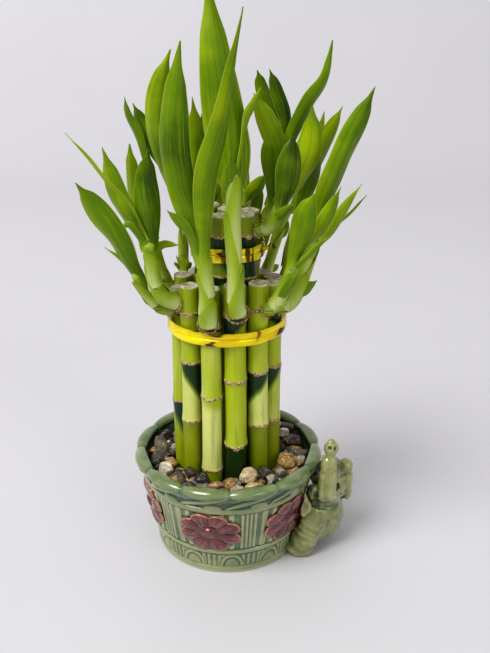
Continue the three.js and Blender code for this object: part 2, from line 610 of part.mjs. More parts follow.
bamboo.add(piece('pot', makePot(), celadonGlaze));
FLOWER_AZIMUTHS.forEach((azimuth, index) => {
  bamboo.add(piece(`flower_${index + 1}`, makeFlower(azimuth), maroonGlaze));
});
bamboo.add(piece('elephant', makeElephant(), oliveGlaze));
bamboo.add(piece('gravel', makeGravel(canes), wetStone));
for (const cane of canes) {
  bamboo.add(piece(cane.name, makeCane(cane), caneSkin));
}
bamboo.add(piece('tie_lower', lowerTie, goldFoil));
bamboo.add(piece('tie_upper', makeUpperTie(), goldFoil));

const caneSpace = join(canes.map((cane) => cylinderAt(cane.radius + GAP, cane.x, cane.y, 0, cane.top + GAP, 12)));
for (const [name, shoot] of Object.entries(SHOOTS)) {
  bamboo.add(piece(`shoot_${name}`, makeShoot(shoot, caneSpace), leafGreen));
}

export default bamboo;
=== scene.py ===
# %% [markdown]
# # A potted lucky bamboo, dressed in Blender
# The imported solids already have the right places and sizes. This lesson goes round the plant
# piece by piece and gives each one the form and the finish of the real thing: the glazed pot,
# its flowers and elephant, the pebbles, the cut canes, the gold ties and the leafy shoots.
# Everything is in metres, in the frame of the solids, with the pot's foot on the origin.

# %% Load the solids
import math
import random

import bmesh
import bpy
from mathutils import Matrix, Vector, noise


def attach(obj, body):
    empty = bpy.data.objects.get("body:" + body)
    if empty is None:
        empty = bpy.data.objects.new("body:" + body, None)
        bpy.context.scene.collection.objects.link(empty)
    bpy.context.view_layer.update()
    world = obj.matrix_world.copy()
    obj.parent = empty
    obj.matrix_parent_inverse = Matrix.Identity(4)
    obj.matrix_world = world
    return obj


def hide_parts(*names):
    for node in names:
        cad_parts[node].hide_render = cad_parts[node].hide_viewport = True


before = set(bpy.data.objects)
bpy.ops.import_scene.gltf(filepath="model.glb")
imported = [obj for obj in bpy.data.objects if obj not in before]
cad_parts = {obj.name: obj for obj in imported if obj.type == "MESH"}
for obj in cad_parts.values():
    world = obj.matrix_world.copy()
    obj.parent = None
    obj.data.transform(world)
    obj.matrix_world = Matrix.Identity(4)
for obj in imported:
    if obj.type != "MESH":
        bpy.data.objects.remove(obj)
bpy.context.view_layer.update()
MM = 0.001

# %% [markdown]
# ## Camera, floor and light
# The plant is seen from a little above, from its front. A long lens keeps the canes nearly
# parallel. The floor runs back and curls up into a wall, as a paper sweep does in a studio, so
# no edge shows behind the leaves. One large soft light comes from the upper left, a weaker one
# fills in from the right, and the pale world lights the rest.

# %% Camera
CAMERA_PLACE = Vector((9.85, -430, 308.9)) * MM
CAMERA_TILT = math.radians(67.77)
LENS = 46.5
camera = bpy.data.objects.new("camera", bpy.data.cameras.new("camera"))
camera.location = CAMERA_PLACE
camera.rotation_euler = (CAMERA_TILT, 0, 0)
camera.data.lens = LENS
camera.data.sensor_width = 36
bpy.context.scene.collection.objects.link(camera)
bpy.context.scene.camera = camera
bpy.context.scene.view_settings.view_transform = "Standard"
bpy.context.scene.view_settings.look = "Medium High Contrast"
print("camera at", tuple(round(v, 3) for v in camera.location))

# %% Small helpers that every step uses
def smooth(x):
    """0 below 0, 1 above 1, and an easy S between."""
    x = min(1.0, max(0.0, x))
    return x * x * (3 - 2 * x)


def mix(a, b, t):
    return a + (b - a) * t


def between(values, share):
    """Value at a share of the way along a row of values."""
    place = share * (len(values) - 1)
    low = min(int(place), len(values) - 2)
    return mix(values[low], values[low + 1], place - low)


def outward(azimuth):
    """Horizontal direction at an azimuth in degrees, counted from the front towards +X."""
    return Vector((math.sin(math.radians(azimuth)), -math.cos(math.radians(azimuth)), 0))


def azimuth_of(point):
    return math.degrees(math.atan2(point.x, -point.y))


def set_reach(vert, reach):
    """Carries a point straight out or in, to a new distance from the upright axis."""
    change = reach / vert.co.xy.length
    vert.co.x *= change
    vert.co.y *= change


def lathe(bm, profile, steps, closed=False):
    """Spins a profile of (radius, height) points round the upright axis."""
    points = [bm.verts.new((radius, 0, height)) for radius, height in profile]
    ends = [*points[1:], points[0]] if closed else points[1:]
    edges = [bm.edges.new(pair) for pair in zip(points, ends)]
    bmesh.ops.spin(bm, geom=points + edges, cent=(0, 0, 0), axis=(0, 0, 1), angle=math.tau,
                   steps=steps, use_merge=True)
    bmesh.ops.remove_doubles(bm, verts=bm.verts, dist=1e-4)
    bmesh.ops.recalc_face_normals(bm, faces=bm.faces)


def mark_hollows(bm, layer, rounds, depth):
    """Stores in blue how far a heavy smoothing would fill a point: over 0.5 in a hollow, under it
    on a crest. The points go back to their places afterwards."""
    bm.normal_update()
    before = [(vert, vert.co.copy(), vert.normal.copy()) for vert in bm.verts]
    every_way = {"use_axis_x": True, "use_axis_y": True, "use_axis_z": True}
    for _ in range(rounds):
        bmesh.ops.smooth_vert(bm, verts=bm.verts, factor=0.5, **every_way)
    for vert, place, normal in before:
        fill = (vert.co - place).dot(normal)
        red, green, _, alpha = vert[layer]
        vert[layer] = (red, green, min(1, max(0, 0.5 + fill / depth)), alpha)
        vert.co = place


def finish_mesh(bm, name, material, sharp=0.9, unit=MM):
    """Turns a bmesh into an object in the scene, in metres, smooth except along sharp edges."""
    bmesh.ops.recalc_face_normals(bm, faces=bm.faces)
    bmesh.ops.scale(bm, verts=bm.verts, vec=(unit, unit, unit))
    for edge in bm.edges:
        edge.smooth = not (edge.is_manifold and edge.calc_face_angle() > sharp)
    for face in bm.faces:
        face.smooth = True
    mesh = bpy.data.meshes.new(name)
    bm.to_mesh(mesh)
    bm.free()
    mesh.materials.append(material)
    made = bpy.data.objects.new(name, mesh)
    bpy.context.scene.collection.objects.link(made)
    return made


def stand_for(made, slot, *nodes):
    """The piece rides on the one body and stands for these solids; the slot argument is not used."""
    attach(made, "root")
    if nodes:
        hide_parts(*nodes)
    print(made.name, len(made.data.polygons), "faces")
    return made


# %% Helpers for materials
def rgb(text):
    """A colour as the eye names it, in hex, as the linear value that the shader takes."""
    parts = [int(text[i:i + 2], 16) / 255 for i in (0, 2, 4)]
    return (*[p / 12.92 if p <= 0.04045 else ((p + 0.055) / 1.055) ** 2.4 for p in parts], 1)


class Paint:
    """A Principled material built up node by node. Each method returns what comes out of its node,
    and takes numbers, hex colours or what came out of other nodes."""

    def __init__(self, name, roughness, **fixed):
        self.material = bpy.data.materials.new(name)
        self.material.use_nodes = True
        self.sockets = self.material.node_tree.nodes["Principled BSDF"].inputs
        self.sockets["Roughness"].default_value = roughness
        for socket, value in fixed.items():
            self.sockets[socket.replace("_", " ").title().replace("Ior", "IOR")].default_value = value
        self.where = self.add("ShaderNodeTexCoord").outputs["Object"]

    def fill(self, socket, value):
        if isinstance(value, bpy.types.NodeSocket):
            self.material.node_tree.links.new(value, socket)
        else:
            socket.default_value = rgb(value) if isinstance(value, str) else value

    def add(self, kind, inputs=(), **settings):
        """Adds a node, sets its options, and fills or links its inputs given by name or number."""
        made = self.material.node_tree.nodes.new(kind)
        for option, value in settings.items():
            setattr(made, option, value)
        for socket, value in dict(inputs).items():
            self.fill(made.inputs[socket], value)
        return made

    def stored(self, name):
        """The four values kept on the points under a name."""
        kept = self.add("ShaderNodeAttribute", attribute_name=name)
        parts = self.add("ShaderNodeSeparateColor", {0: kept.outputs["Color"]}).outputs
        return (*parts, kept.outputs["Alpha"])

    def calc(self, operation, first, second):
        return self.add("ShaderNodeMath", {0: first, 1: second}, operation=operation).outputs[0]

    def plus(self, first, second):
        return self.calc("ADD", first, second)

    def times(self, first, second):
        return self.calc("MULTIPLY", first, second)

    def swing(self, value, amount):
        """A value that lies round 0.5, turned into one that swings round 0."""
        return self.times(self.calc("SUBTRACT", value, 0.5), amount)

    def band(self, value, low, high):
        """0 where a value is below low, 1 above high, smooth between; low may be above high."""
        ends = {0: value, 1: low, 2: high}
        return self.add("ShaderNodeMapRange", ends, interpolation_type="SMOOTHSTEP").outputs[0]

    def speckle(self, scale, detail=3.0, roughness=0.5, stretch=(1, 1, 1), on=None):
        """Noise on the object's coordinates or on others, stretched along an axis if asked."""
        mapping = self.add("ShaderNodeMapping", {0: on or self.where, 3: stretch})
        return self.add("ShaderNodeTexNoise", {0: mapping.outputs[0], "Scale": scale, "Detail": detail,
                                               "Roughness": roughness}).outputs[0]

    def blend(self, share, first, second, blend_type="MIX"):
        """A colour between two others, or their product."""
        return self.add("ShaderNodeMix", {0: share, 6: first, 7: second}, data_type="RGBA",
                        blend_type=blend_type).outputs[2]

    def layers(self, colour, *over):
        """Lays colours over a first one. Each layer is its colour and its share, or its colour and
        the value and band that bring it in, then how much of it shows."""
        for layer, share, *ends in over:
            if ends:
                share = self.band(share, *ends[:2])
            if len(ends) > 2:
                share = self.times(share, ends[2])
            colour = self.blend(share, colour, layer)
        return colour

    def finish(self, colour, height, distance, strength):
        """Sets the colour and raises the skin by a height that varies from 0 to 1."""
        self.fill(self.sockets["Base Color"], colour)
        bump = self.add("ShaderNodeBump", {"Height": height, "Distance": distance, "Strength": strength})
        self.fill(self.sockets["Normal"], bump.outputs[0])
        return self.material


# %% Floor and backdrop
FLOOR_HALF_WIDTH, FLOOR_FRONT, FLOOR_BEND = 3, -2.6, 0.9
CURL_RADIUS, CURL_STEPS, WALL_TOP = 0.6, 24, 2.4


def make_sweep():
    """A floor that curls up into a wall behind the plant."""
    turns = [math.pi / 2 * step / CURL_STEPS for step in range(CURL_STEPS + 1)]
    curl = [(FLOOR_BEND + CURL_RADIUS * math.sin(turn), CURL_RADIUS * (1 - math.cos(turn))) for turn in turns]
    profile = [(FLOOR_FRONT, 0), *curl, (FLOOR_BEND + CURL_RADIUS, WALL_TOP)]
    bm = bmesh.new()
    points = [bm.verts.new((-FLOOR_HALF_WIDTH, y, z)) for y, z in profile]
    edges = [bm.edges.new(pair) for pair in zip(points, points[1:])]
    across = bmesh.ops.extrude_edge_only(bm, edges=edges)["geom"]
    far = [part for part in across if isinstance(part, bmesh.types.BMVert)]
    bmesh.ops.translate(bm, verts=far, vec=(2 * FLOOR_HALF_WIDTH, 0, 0))
    paper = Paint("studio_paper", 0.55)
    tone = paper.blend(paper.speckle(6.0), "d0cfd3", "d5d4d7")
    paper.fill(paper.sockets["Base Color"], tone)
    return finish_mesh(bm, "studio_sweep", paper.material, unit=1)


sweep = make_sweep()
print("backdrop:", len(sweep.data.polygons), "faces")


# %% Lights
def soft_light(name, place, target, size, power):
    data = bpy.data.lights.new(name, "AREA")
    data.shape, data.size, data.energy = "DISK", size, power
    lamp = bpy.data.objects.new(name, data)
    lamp.location = place
    lamp.rotation_euler = (Vector(target) - Vector(place)).to_track_quat("-Z", "Y").to_euler()
    bpy.context.scene.collection.objects.link(lamp)


soft_light("window", (-1.5, -1.3, 2.9), (0, 0.1, 0.1), size=1.9, power=80)
soft_light("fill", (1.6, -1.8, 1.4), (0, 0, 0.12), size=1.4, power=8)
world = bpy.data.worlds.new("pale_room")
bpy.context.scene.world = world
world.use_nodes = True
backdrop = world.node_tree.nodes["Background"]
backdrop.inputs["Color"].default_value, backdrop.inputs["Strength"].default_value = rgb("f1efef"), 0.5


# %% [markdown]
# ## The pot
# The pot is slip-cast stoneware shaped like a little basket: canes twisted round the rim, hoops
# under it and at the foot, upright staves between them and a row of arches low down. A profile
# spun round the axis gives the plain wall, inside and out. Then each point of the outer wall is
# pushed out by a rule that reads its azimuth and height, as a mould does, which keeps the soft,
# filled-in look that glaze gives to relief. The same rule says how deep a point lies, and the
# glaze is darker there: partly because it runs into the hollows while it melts, partly as painted
# shade for the hollows.

# %% Driving sizes of the pot, in millimetres
FOOT_RADIUS, SHOULDER_RADIUS, SHOULDER_HEIGHT = 40.4, 48.6, 47
RIM_CORE_RADIUS, RIM_CORE_HEIGHT, RIM_CORE = 50.3, 56.3, 2.3   # the round that the rim is built on
RIM_RADIUS = 53
POT_STEPS = 576
REPEAT = 30                    # degrees of wall that each length of rim cane takes
RIM_JOINT = 2                  # azimuth of a joint between two rim canes
FLOWER_AZIMUTHS = [-12, -73, -133, 167, 48]
FLOWER_HEIGHT, FLOWER_HALF_WIDTH, FLOWER_HALF_HEIGHT = 30, 18.6, 14
ELEPHANT_SEAT = (84, 18, 24, 24)   # azimuth, height, half width and half height of what it covers
HOOPS = [(3.0, 1.7), (15.4, 1.7), (45, 2.0)]   # height of the middle, and half the height
# Staves in each repeat: azimuth of the middle, and half the width in millimetres.
STAVES = [(1.2, 1.5), (8.6, 0.95), (11.6, 0.85), (14.4, 0.85), (17.3, 0.95), (24.0, 1.7)]
ARCH_BARS = [10.2, 14.2, 18.2, 22.2, 25.6]


def wall_radius(height):
    return mix(FOOT_RADIUS, SHOULDER_RADIUS, height / SHOULDER_HEIGHT)


def seat(azimuth, height):
    """1 where a flower or the elephant covers the wall, fading to 0 around it."""
    spots = [(centre, FLOWER_HEIGHT, FLOWER_HALF_WIDTH, FLOWER_HALF_HEIGHT) for centre in FLOWER_AZIMUTHS]
    cover = 0.0
    for centre, middle, half_width, half_height in [*spots, ELEPHANT_SEAT]:
        turn = (azimuth - centre + 540) % 360 - 180
        across = math.radians(turn) * wall_radius(height) / half_width
        reach = math.hypot(across, (height - middle) / half_height)
        cover = max(cover, 1 - smooth((reach - 0.85) / 0.12))
    return cover


def roll(distance, half):
    """Section of a rounded bar: 1 on its crest, 0 past its half width."""
    return math.sqrt(max(0.0, 1 - (distance / half) ** 2))


# %% The relief as rules
def staves(phase, height, arc):
    """Upright bars of uneven width between the hoops, close together or well apart."""
    out = 0.0
    for middle, half in STAVES:
        away = min(abs(phase - middle), REPEAT - abs(phase - middle)) * arc
        out = max(out, 0.95 * smooth((half + 0.35 - away) / 0.7))
    return out * smooth((height - 17.2) / 1.0) * smooth((43.2 - height) / 1.0)


def arches(phase, height, arc):
    """A filled dome with a rounded outline at each repeat, and short bars between the domes."""
    away = min(abs(phase - 1.5), abs(phase - 1.5 - REPEAT)) * arc
    reach = math.hypot(away / 6.3, (height - 5.0) / 8.3)
    out = max(0.95 * roll(reach - 0.9, 0.17), 0.75 * smooth((0.72 - reach) / 0.2))
    if ARCH_BARS[0] - 2 < phase < ARCH_BARS[-1] + 2 and reach > 1.1:
        gap = min(abs(phase - bar) for bar in ARCH_BARS) * arc
        out = max(out, 0.85 * roll(gap, 1.3) * smooth((13.6 - height) / 0.9))
    return out


def wall_relief(azimuth, height):
    """How far a point of the outer wall stands out, in millimetres."""
    phase = (azimuth - RIM_JOINT) % REPEAT
    arc = math.radians(1) * wall_radius(height)
    out = 1.3 * max(roll(height - middle, half) for middle, half in HOOPS)
    out = max(out, 1.1 * roll(height - 0.4, 1.3))
    if 17 < height < 43.4:
        out = max(out, staves(phase, height, arc))
    if 4.6 < height < 13.9:
        out = max(out, arches(phase, height, arc))
    return out


def rim_twist(azimuth, height):
    """The canes of the rim: a leaf-shaped roll from each joint to the next, and under it a bead and
    a thinner cane that climbs from the hoop to the roll."""
    phase = (azimuth - RIM_JOINT) % REPEAT
    lens = math.sin(math.pi * phase / REPEAT) ** 0.6
    crest = 57.4
    if height >= crest:
        return 2.0 * lens
    upper = 2.0 * lens * roll(crest - height, 0.5 + 2.9 * lens)
    upper -= 0.5 * lens * roll(height - crest + 1.7 * lens, 0.6)
    climbing = 0.0
    for start in (3, 3 - REPEAT):
        share = (phase + start) / 32
        if 0 < share < 1:
            middle, fat = mix(47.2, 56.6, share), math.sin(math.pi * share) ** 0.5
            climbing = max(climbing, (0.4 + 1.5 * fat) * roll(height - middle, 0.3 + 1.5 * fat))
    away = (phase - 19) * math.radians(1) * 50
    bead = 1.5 * roll(math.hypot(away / 5.6, (height - 46.6) / 3.4), 1)
    return max(upper, climbing, bead if height > 46 else 0)


# %% Spin the wall, then press the relief into it
def flare(height):
    """Plain radius of the wall between its foot and the round of the rim."""
    start = SHOULDER_HEIGHT - 1
    full = RIM_CORE_RADIUS + RIM_CORE
    return wall_radius(height) if height < start else mix(
        wall_radius(start), full, smooth((height - start) / (RIM_CORE_HEIGHT - start)) ** 1.2)


def pot_profile():
    heights = [0.0, 0.4, 0.9] + [1.4 + 0.45 * i for i in range(36)]
    heights += [17.6 + 0.5 * i for i in range(3)] + [19.6 + 1.6 * i for i in range(14)]
    heights += [41.6 + 0.5 * i for i in range(4)] + [43.5 + 0.36 * i for i in range(36)]
    profile = [(0, 0)] + [(flare(height), height) for height in heights]
    for i in range(21):
        angle = math.radians(8 + 172 * i / 20)
        profile.append((RIM_CORE_RADIUS + RIM_CORE * math.cos(angle),
                        RIM_CORE_HEIGHT + RIM_CORE * math.sin(angle)))
    return profile + [(47.8, 54), (47, 51), (45.6, 44), (43.5, 30), (40.5, 12), (37, 4), (0, 4)]


def make_pot(material):
    bm = bmesh.new()
    deep = bm.verts.layers.float_color.new("depth")
    lathe(bm, pot_profile(), POT_STEPS)
    for vert in bm.verts:
        press(vert, deep)
    mark_hollows(bm, deep, rounds=12, depth=1.1)
    return finish_mesh(bm, "glazed_pot", material, sharp=2.5)


def press(vert, deep):
    """Moves one point of the pot and notes how deep it lies in the relief."""
    radius, height = vert.co.xy.length, vert.co.z
    if radius < 1:
        return
    azimuth, away = azimuth_of(vert.co), Vector((vert.co.x, vert.co.y, 0)).normalized()
    plain = seat(azimuth, height)
    inside = radius < flare(min(height, RIM_CORE_HEIGHT)) - 0.5 and height < RIM_CORE_HEIGHT
    push, depth, rim = 0.0, 0.6, 0.0
    if not inside and height > 0:
        push = wall_relief(azimuth, height) * (1 - plain)
        if height > 46.2:
            push, rim = max(push, rim_twist(azimuth, height)), smooth((height - 46.5) / 8)
        depth = smooth((0.95 - push) / 0.8) * (1 - 0.7 * plain) * (0.45 if height < 43.5 else 1.3)
    if height > RIM_CORE_HEIGHT:
        angle = math.atan2(height - RIM_CORE_HEIGHT, radius - RIM_CORE_RADIUS)
        fade = smooth((3.1 - angle) / 0.9)
        over = away * math.cos(angle) + Vector((0, 0, 0.85 * math.sin(angle)))
        vert.co += over * push * mix(0.4, 1, fade)
        phase = (azimuth - RIM_JOINT) % REPEAT
        depth = 0.5 * smooth((3.0 - min(phase, REPEAT - phase)) / 3)
    else:
        vert.co += away * push
    vert[deep] = (depth, rim, 0, 1)


# %% [markdown]
# The glaze is a thin olive green. It breaks pale on crests, where it is thin, and pools dark in
# hollows. The same pale and dark also serve as painted highlight on the crests and painted shade
# in the hollows. So the material mixes its greens by the depth that was stored on the points, with
# two scales of noise for the cloudy way it melts, and a clear coat for the gloss.

# %% Celadon glaze
def make_celadon():
    glaze = Paint("celadon_glaze", 0.2, coat_weight=0.8, coat_roughness=0.05)
    depth, rim, hollow, _ = glaze.stored("depth")
    cloud = glaze.speckle(60, detail=5, roughness=0.6)
    streak = glaze.speckle(90, detail=4, stretch=(1, 1, 3.5))
    fine = glaze.speckle(420)
    pooled_glaze_and_shade = glaze.plus(depth, glaze.swing(cloud, 1.3))
    off_rim = glaze.plus(0.75, glaze.times(rim, -0.5))
    greener = glaze.plus(0.3, glaze.times(glaze.band(streak, 0.42, 0.68), 0.5))
    # The pooled and hollow greens darken the hollows, partly as pooled glaze and partly as painted shade. The
    # pale b4b488 on the crests is partly thin glaze and partly painted highlight.
    colour = glaze.layers(
        "969c6c", ("748456", cloud, 0.35, 0.65), ("5d7254", pooled_glaze_and_shade, 0.05, 0.6),
        ("36503c", pooled_glaze_and_shade, 0.55, 1.05), ("304c36", hollow, 0.56, 0.85),
        ("b4b488", hollow, 0.44, 0.2, off_rim), ("43652f", glaze.times(rim, greener)),
        ("4d5f36", fine, 0.64, 0.8))
    return glaze.finish(colour, glaze.plus(fine, streak), 0.0004, 0.3)


stand_for(make_pot(make_celadon()), "celadon_glaze", "pot")


# %% [markdown]
# ## The flowers
# Five flowers are pressed in a mould and stuck on the wall before firing. Each is a dished
# rosette of eight petals around a button, with two veins on every petal. A profile of rings is
# spun flat first. Then every ring is drawn in between the petals, and the rosette is wrapped on
# the sloping wall.

# %% One flower, wrapped on the wall
PETALS = 8
FLOWER_STEPS = 192
FLOWER_GAP = 0.3
# share of the half width, and height off the wall in millimetres
PETAL_PROFILE = [
    (0, 0), (0.5, 0), (0.95, 0), (0.965, 0.5), (0.965, 1.1), (0.945, 1.55), (0.9, 1.85), (0.84, 2.05),
    (0.76, 2.2), (0.68, 2.3), (0.6, 2.3), (0.52, 2.2), (0.44, 1.95), (0.37, 1.6), (0.31, 1.35),
    (0.27, 1.2), (0.235, 1.5), (0.22, 2.1), (0.195, 2.6), (0.15, 2.85), (0.08, 2.98), (0, 3)]


def make_flower(name, azimuth, material):
    bm = bmesh.new()
    ridge_layer = bm.verts.layers.float_color.new("ridge")
    lathe(bm, PETAL_PROFILE, FLOWER_STEPS)
    for vert in bm.verts:
        wrap_petal(vert, azimuth, ridge_layer)
    return finish_mesh(bm, name, material, sharp=1.2)


def wrap_petal(vert, azimuth, ridge_layer):
    reach, turn = vert.co.xy.length, math.atan2(vert.co.y, vert.co.x)
    notch = abs(math.sin(turn * PETALS / 2)) ** 0.7
    shrink = mix(1, mix(0.8, 1, notch), smooth((reach - 0.3) / 0.5)) if reach > 0.3 else 1
    ridge = mix(0.55, 1, notch) if reach > 0.4 and vert.co.z > 1 else 1
    share = (turn / math.tau * PETALS) % 1
    vein = max(0, 1 - min(abs(share - 0.34), abs(share - 0.66)) / 0.055)
    rise = smooth((reach - 0.3) / 0.15) * smooth((0.9 - reach) / 0.1)
    across = vert.co.x * shrink * FLOWER_HALF_WIDTH
    height = FLOWER_HEIGHT + vert.co.y * shrink * FLOWER_HALF_HEIGHT
    lift = vert.co.z * ridge + 0.3 * vein * rise if vert.co.z > 0.1 else 0
    edge = smooth((reach - 0.86) / 0.08) * (vert.co.z > 0.1)
    button = smooth((0.2 - reach) / 0.05) * (vert.co.z > 0.1)
    vert[ridge_layer] = (max(0.8 * vein * rise, edge, 0.45 * button), 1 - notch, share, 1)
    radius = wall_radius(height) + FLOWER_GAP + 0.1 + lift
    spot = outward(azimuth + math.degrees(across / wall_radius(height)))
    vert.co = Vector((spot.x * radius, spot.y * radius, height))


# %% Dull red glaze
def make_maroon():
    """Iron-red glaze that runs off the ridges and leaves them tan."""
    glaze = Paint("maroon_glaze", 0.2, coat_weight=0.8, coat_roughness=0.06)
    ridge, valley, _, _ = glaze.stored("ridge")
    cloud = glaze.speckle(160, detail=4)
    broken = glaze.times(ridge, glaze.plus(cloud, 0.35))
    colour = glaze.layers("5a2022", ("7c3838", cloud, 0.35, 0.65), ("3a1216", valley, 0.55, 1.0),
                          ("a87862", broken, 0.25, 0.8))
    return glaze.finish(colour, glaze.speckle(500), 0.0003, 0.2)


maroon = make_maroon()
for index, azimuth in enumerate(FLOWER_AZIMUTHS, start=1):
    stand_for(make_flower(f"petals_{index}", azimuth, maroon), "maroon_glaze", f"flower_{index}")


# %% [markdown]
# ## The elephant
# A small elephant leans on the pot with its trunk raised. It was modelled in soft clay, so its
# masses run into each other. Balls give the body, and swept tubes give the two halves of the
# trunk, a hind leg and an ear. A voxel remesh welds them into one skin, which is then relaxed.
# Folds and creases are pressed in afterwards by moving the points along their normals.

# %% The masses of the elephant, in millimetres: centre, radii, turn about the upright in degrees
TORSO = [((53.8, -7, 20), (12.8, 13, 16.5), 0), ((54, 7, 14), (12, 11, 13.6), 0),
         ((59, -8.5, 43.5), (9, 9.5, 12.5), 0), ((55.5, -13, 24), (11.5, 10, 11), 0),
         ((57.8, -13, 19), (9, 9.5, 13.5), 0), ((52, -16, 15), (8, 8.5, 10), 0),
         ((52, -16, 30), (7, 6.5, 8), 0), ((61, -10, 20), (7, 8, 12.5), 0), ((54, -9, 46), (7, 8, 10.5), 0)]
LIMBS = [((42, -22.6, 4.4), (8.8, 7.4, 5.4), 0), ((57, 13, 5), (9, 7.5, 7), 0)]
FACE = [((58.3, -18.2, 66.8), (4.4, 3.7, 4.8), 0), ((58.1, -17.4, 70.2), (2.4, 2.1, 2.3), 0),
        ((63.2, -11.5, 37), (5, 5, 8.5), 0), ((57, -14, 34), (8.5, 8, 5.5), 0),
        ((49.8, -21.2, 40), (4.3, 4.2, 5), 0)]
RUFFLE = [((43.6, -25.5, 38), (2, 2.4, 4.4), 20), ((41.8, -26, 33.6), (2.2, 2.4, 4), 0),
          ((45.6, -25.6, 33), (2.2, 2.4, 4.4), -20), ((43, -26.2, 29.6), (2, 2.2, 2.8), 0)]
TRUNK_LEFT = [(57.5, -14, 35), (54.1, -22.8, 39.6), (54.4, -22.6, 46), (55.2, -21, 54),
              (56.3, -19.6, 60.5), (57.6, -18.6, 64.5)]
TRUNK_RIGHT = [(59, -14, 35), (57.5, -22.8, 39.6), (58.0, -22.6, 46), (58.5, -21, 54),
               (58.6, -19.6, 60.5), (58.8, -18.6, 64.5)]
TRUNK_RADII = [5, 4.0, 3.5, 3.2, 2.9, 1.5]
LEG_PATH = [(51, -16, 28), (47.5, -20, 18), (43.5, -22.5, 8), (42.5, -23, 4)]
LEG_RADII = [9.5, 9.2, 7.8, 6.5]
EAR_PATH = [(67.6, -8.5, 53.4), (67.9, -8.5, 50.6), (68.6, -8.5, 46.4), (69, -8.5, 42.5), (69.2, -8.5, 37.6),
            (69.6, -8.5, 33), (69.6, -8.5, 27.6)]
EAR_RADII = [3.0, 4.7, 3.7, 3.9, 3.2, 3.2, 2.2]
TUBES = [(TRUNK_LEFT, TRUNK_RADII), (TRUNK_RIGHT, TRUNK_RADII), (LEG_PATH, LEG_RADII), (EAR_PATH, EAR_RADII)]
HOLLOWS = [((63.4, -17.6, 40.7), (1.6, 3, 2.4), 2.0), ((56.8, -22, 68.6), (1.2, 2, 1.5), 1.6),
           ((60.2, -21.6, 68.2), (0.8, 2, 1.7), 1.3), ((49.6, -25.4, 40), (1.7, 2.6, 3.2), 1.6)]


def follow(path, share):
    """Point and direction at a share of a smooth course through the points of a path."""
    points = [Vector(p) for p in path]
    ends = [2 * points[0] - points[1], *points, 2 * points[-1] - points[-2]]
    span = min(int(share * (len(points) - 1)), len(points) - 2)
    u = share * (len(points) - 1) - span
    before, start, end, after = ends[span:span + 4]
    leave, arrive = (end - before) / 2, (after - start) / 2
    bend, sway = 2 * start - 2 * end + leave + arrive, 3 * end - 3 * start - 2 * leave - arrive
    point = bend * u ** 3 + sway * u ** 2 + leave * u + start
    return point, (3 * bend * u ** 2 + 2 * sway * u + leave).normalized()


def add_ball(bm, centre, radii, turn):
    ball = bmesh.ops.create_uvsphere(bm, u_segments=40, v_segments=24, radius=1)["verts"]
    bmesh.ops.scale(bm, verts=ball, vec=radii)
    bmesh.ops.rotate(bm, verts=ball, cent=(0, 0, 0), matrix=Matrix.Rotation(math.radians(turn), 3, "Z"))
    bmesh.ops.translate(bm, verts=ball, vec=centre)


def station(path, radii, share):
    """Matrix that carries a flat unit disc to its place, size and lean on the course of a tube."""
    middle, heading = follow(path, share)
    side = heading.cross(outward(0)).normalized()
    turn = Matrix((side, heading.cross(side), heading)).transposed().to_4x4()
    return Matrix.Translation(middle) @ turn @ Matrix.Scale(between(radii, share), 4)


def add_tube(bm, path, radii, rows, sides):
    """A closed tube: a disc at the start of a path, extruded row by row. Returns its rings."""
    here = station(path, radii, 0)
    rings = [bmesh.ops.create_circle(bm, cap_ends=True, segments=sides, radius=1, matrix=here)["verts"]]
    end = rings[0][0].link_faces[0]
    for row in range(1, rows + 1):
        there = station(path, radii, row / rows)
        grown = bmesh.ops.extrude_face_region(bm, geom=[end], use_keep_orig=row == 1)["geom"]
        rings.append([part for part in grown if isinstance(part, bmesh.types.BMVert)])
        end = next(part for part in grown if isinstance(part, bmesh.types.BMFace))
        bmesh.ops.transform(bm, matrix=there @ here.inverted(), verts=rings[-1])
        here = there
    return rings


# %% Weld the masses and relax the skin
SKIN_VOXEL, SKIN_RELAX = 0.65, 9


def weld(bm):
    """One skin round overlapping closed forms, as a new bmesh in millimetres."""
    mesh = bpy.data.meshes.new("elephant_masses")
    bm.to_mesh(mesh)
    bm.free()
    rough = bpy.data.objects.new("elephant_masses", mesh)
    bpy.context.scene.collection.objects.link(rough)
    remesh = rough.modifiers.new("weld", "REMESH")
    remesh.mode, remesh.voxel_size = "VOXEL", SKIN_VOXEL
    ease = rough.modifiers.new("relax", "SMOOTH")
    ease.factor, ease.iterations = 0.5, SKIN_RELAX
    seen = rough.evaluated_get(bpy.context.evaluated_depsgraph_get())
    skin = bmesh.new()
    skin.from_mesh(seen.to_mesh())
    bpy.data.objects.remove(rough)
    bpy.data.meshes.remove(mesh)
    return skin


def crease(value, place, width):
    return smooth(1 - abs(value - place) / width)


def fold_depth(point):
    """How deep the folds and wrinkles of the hide are pressed at a point, in millimetres."""
    x, y, z = point
    deep = 0.0
    if y < -17 and 50 < x < 65 and 36 < z < 62:
        deep += 0.14 * sum(crease(z + 0.3 * abs(x - 57.3), place, 0.8) for place in (42, 46.5, 51, 55))
    if y < -14 and 50 < x < 66 and 60 < z < 65:
        deep += 0.45 * crease(z, 62.4, 1.6)
    if y < -9 and 34 < x < 57 and 6 < z < 26:
        sag = z + 0.5 * (x - 40) - 1.6 * math.sin((x - 36) * 0.16)
        fade = smooth((57 - x) / 8)
        deep += 0.6 * fade * sum(crease(sag, place, 2.1) for place in (21.2, 17.6, 14.0))
    if y < -16 and 42 < x < 56 and 27 < z < 45:
        deep += 0.8 * crease(x + 0.5 * (z - 44), 45.8, 3.2) * smooth((z - 27) / 6)
    if x > 64 and z > 24 and y < -2:
        deep += 0.4 * sum(crease(z, place, 1.8) for place in (35.2, 46.2)) + 0.5 * crease(x, 65.6, 1.8)
    for centre, radii, depth in HOLLOWS:
        away = math.sqrt(sum(((p - c) / r) ** 2 for p, c, r in zip(point, centre, radii)))
        deep += depth * smooth((1.25 - away) / 0.7)
    return deep


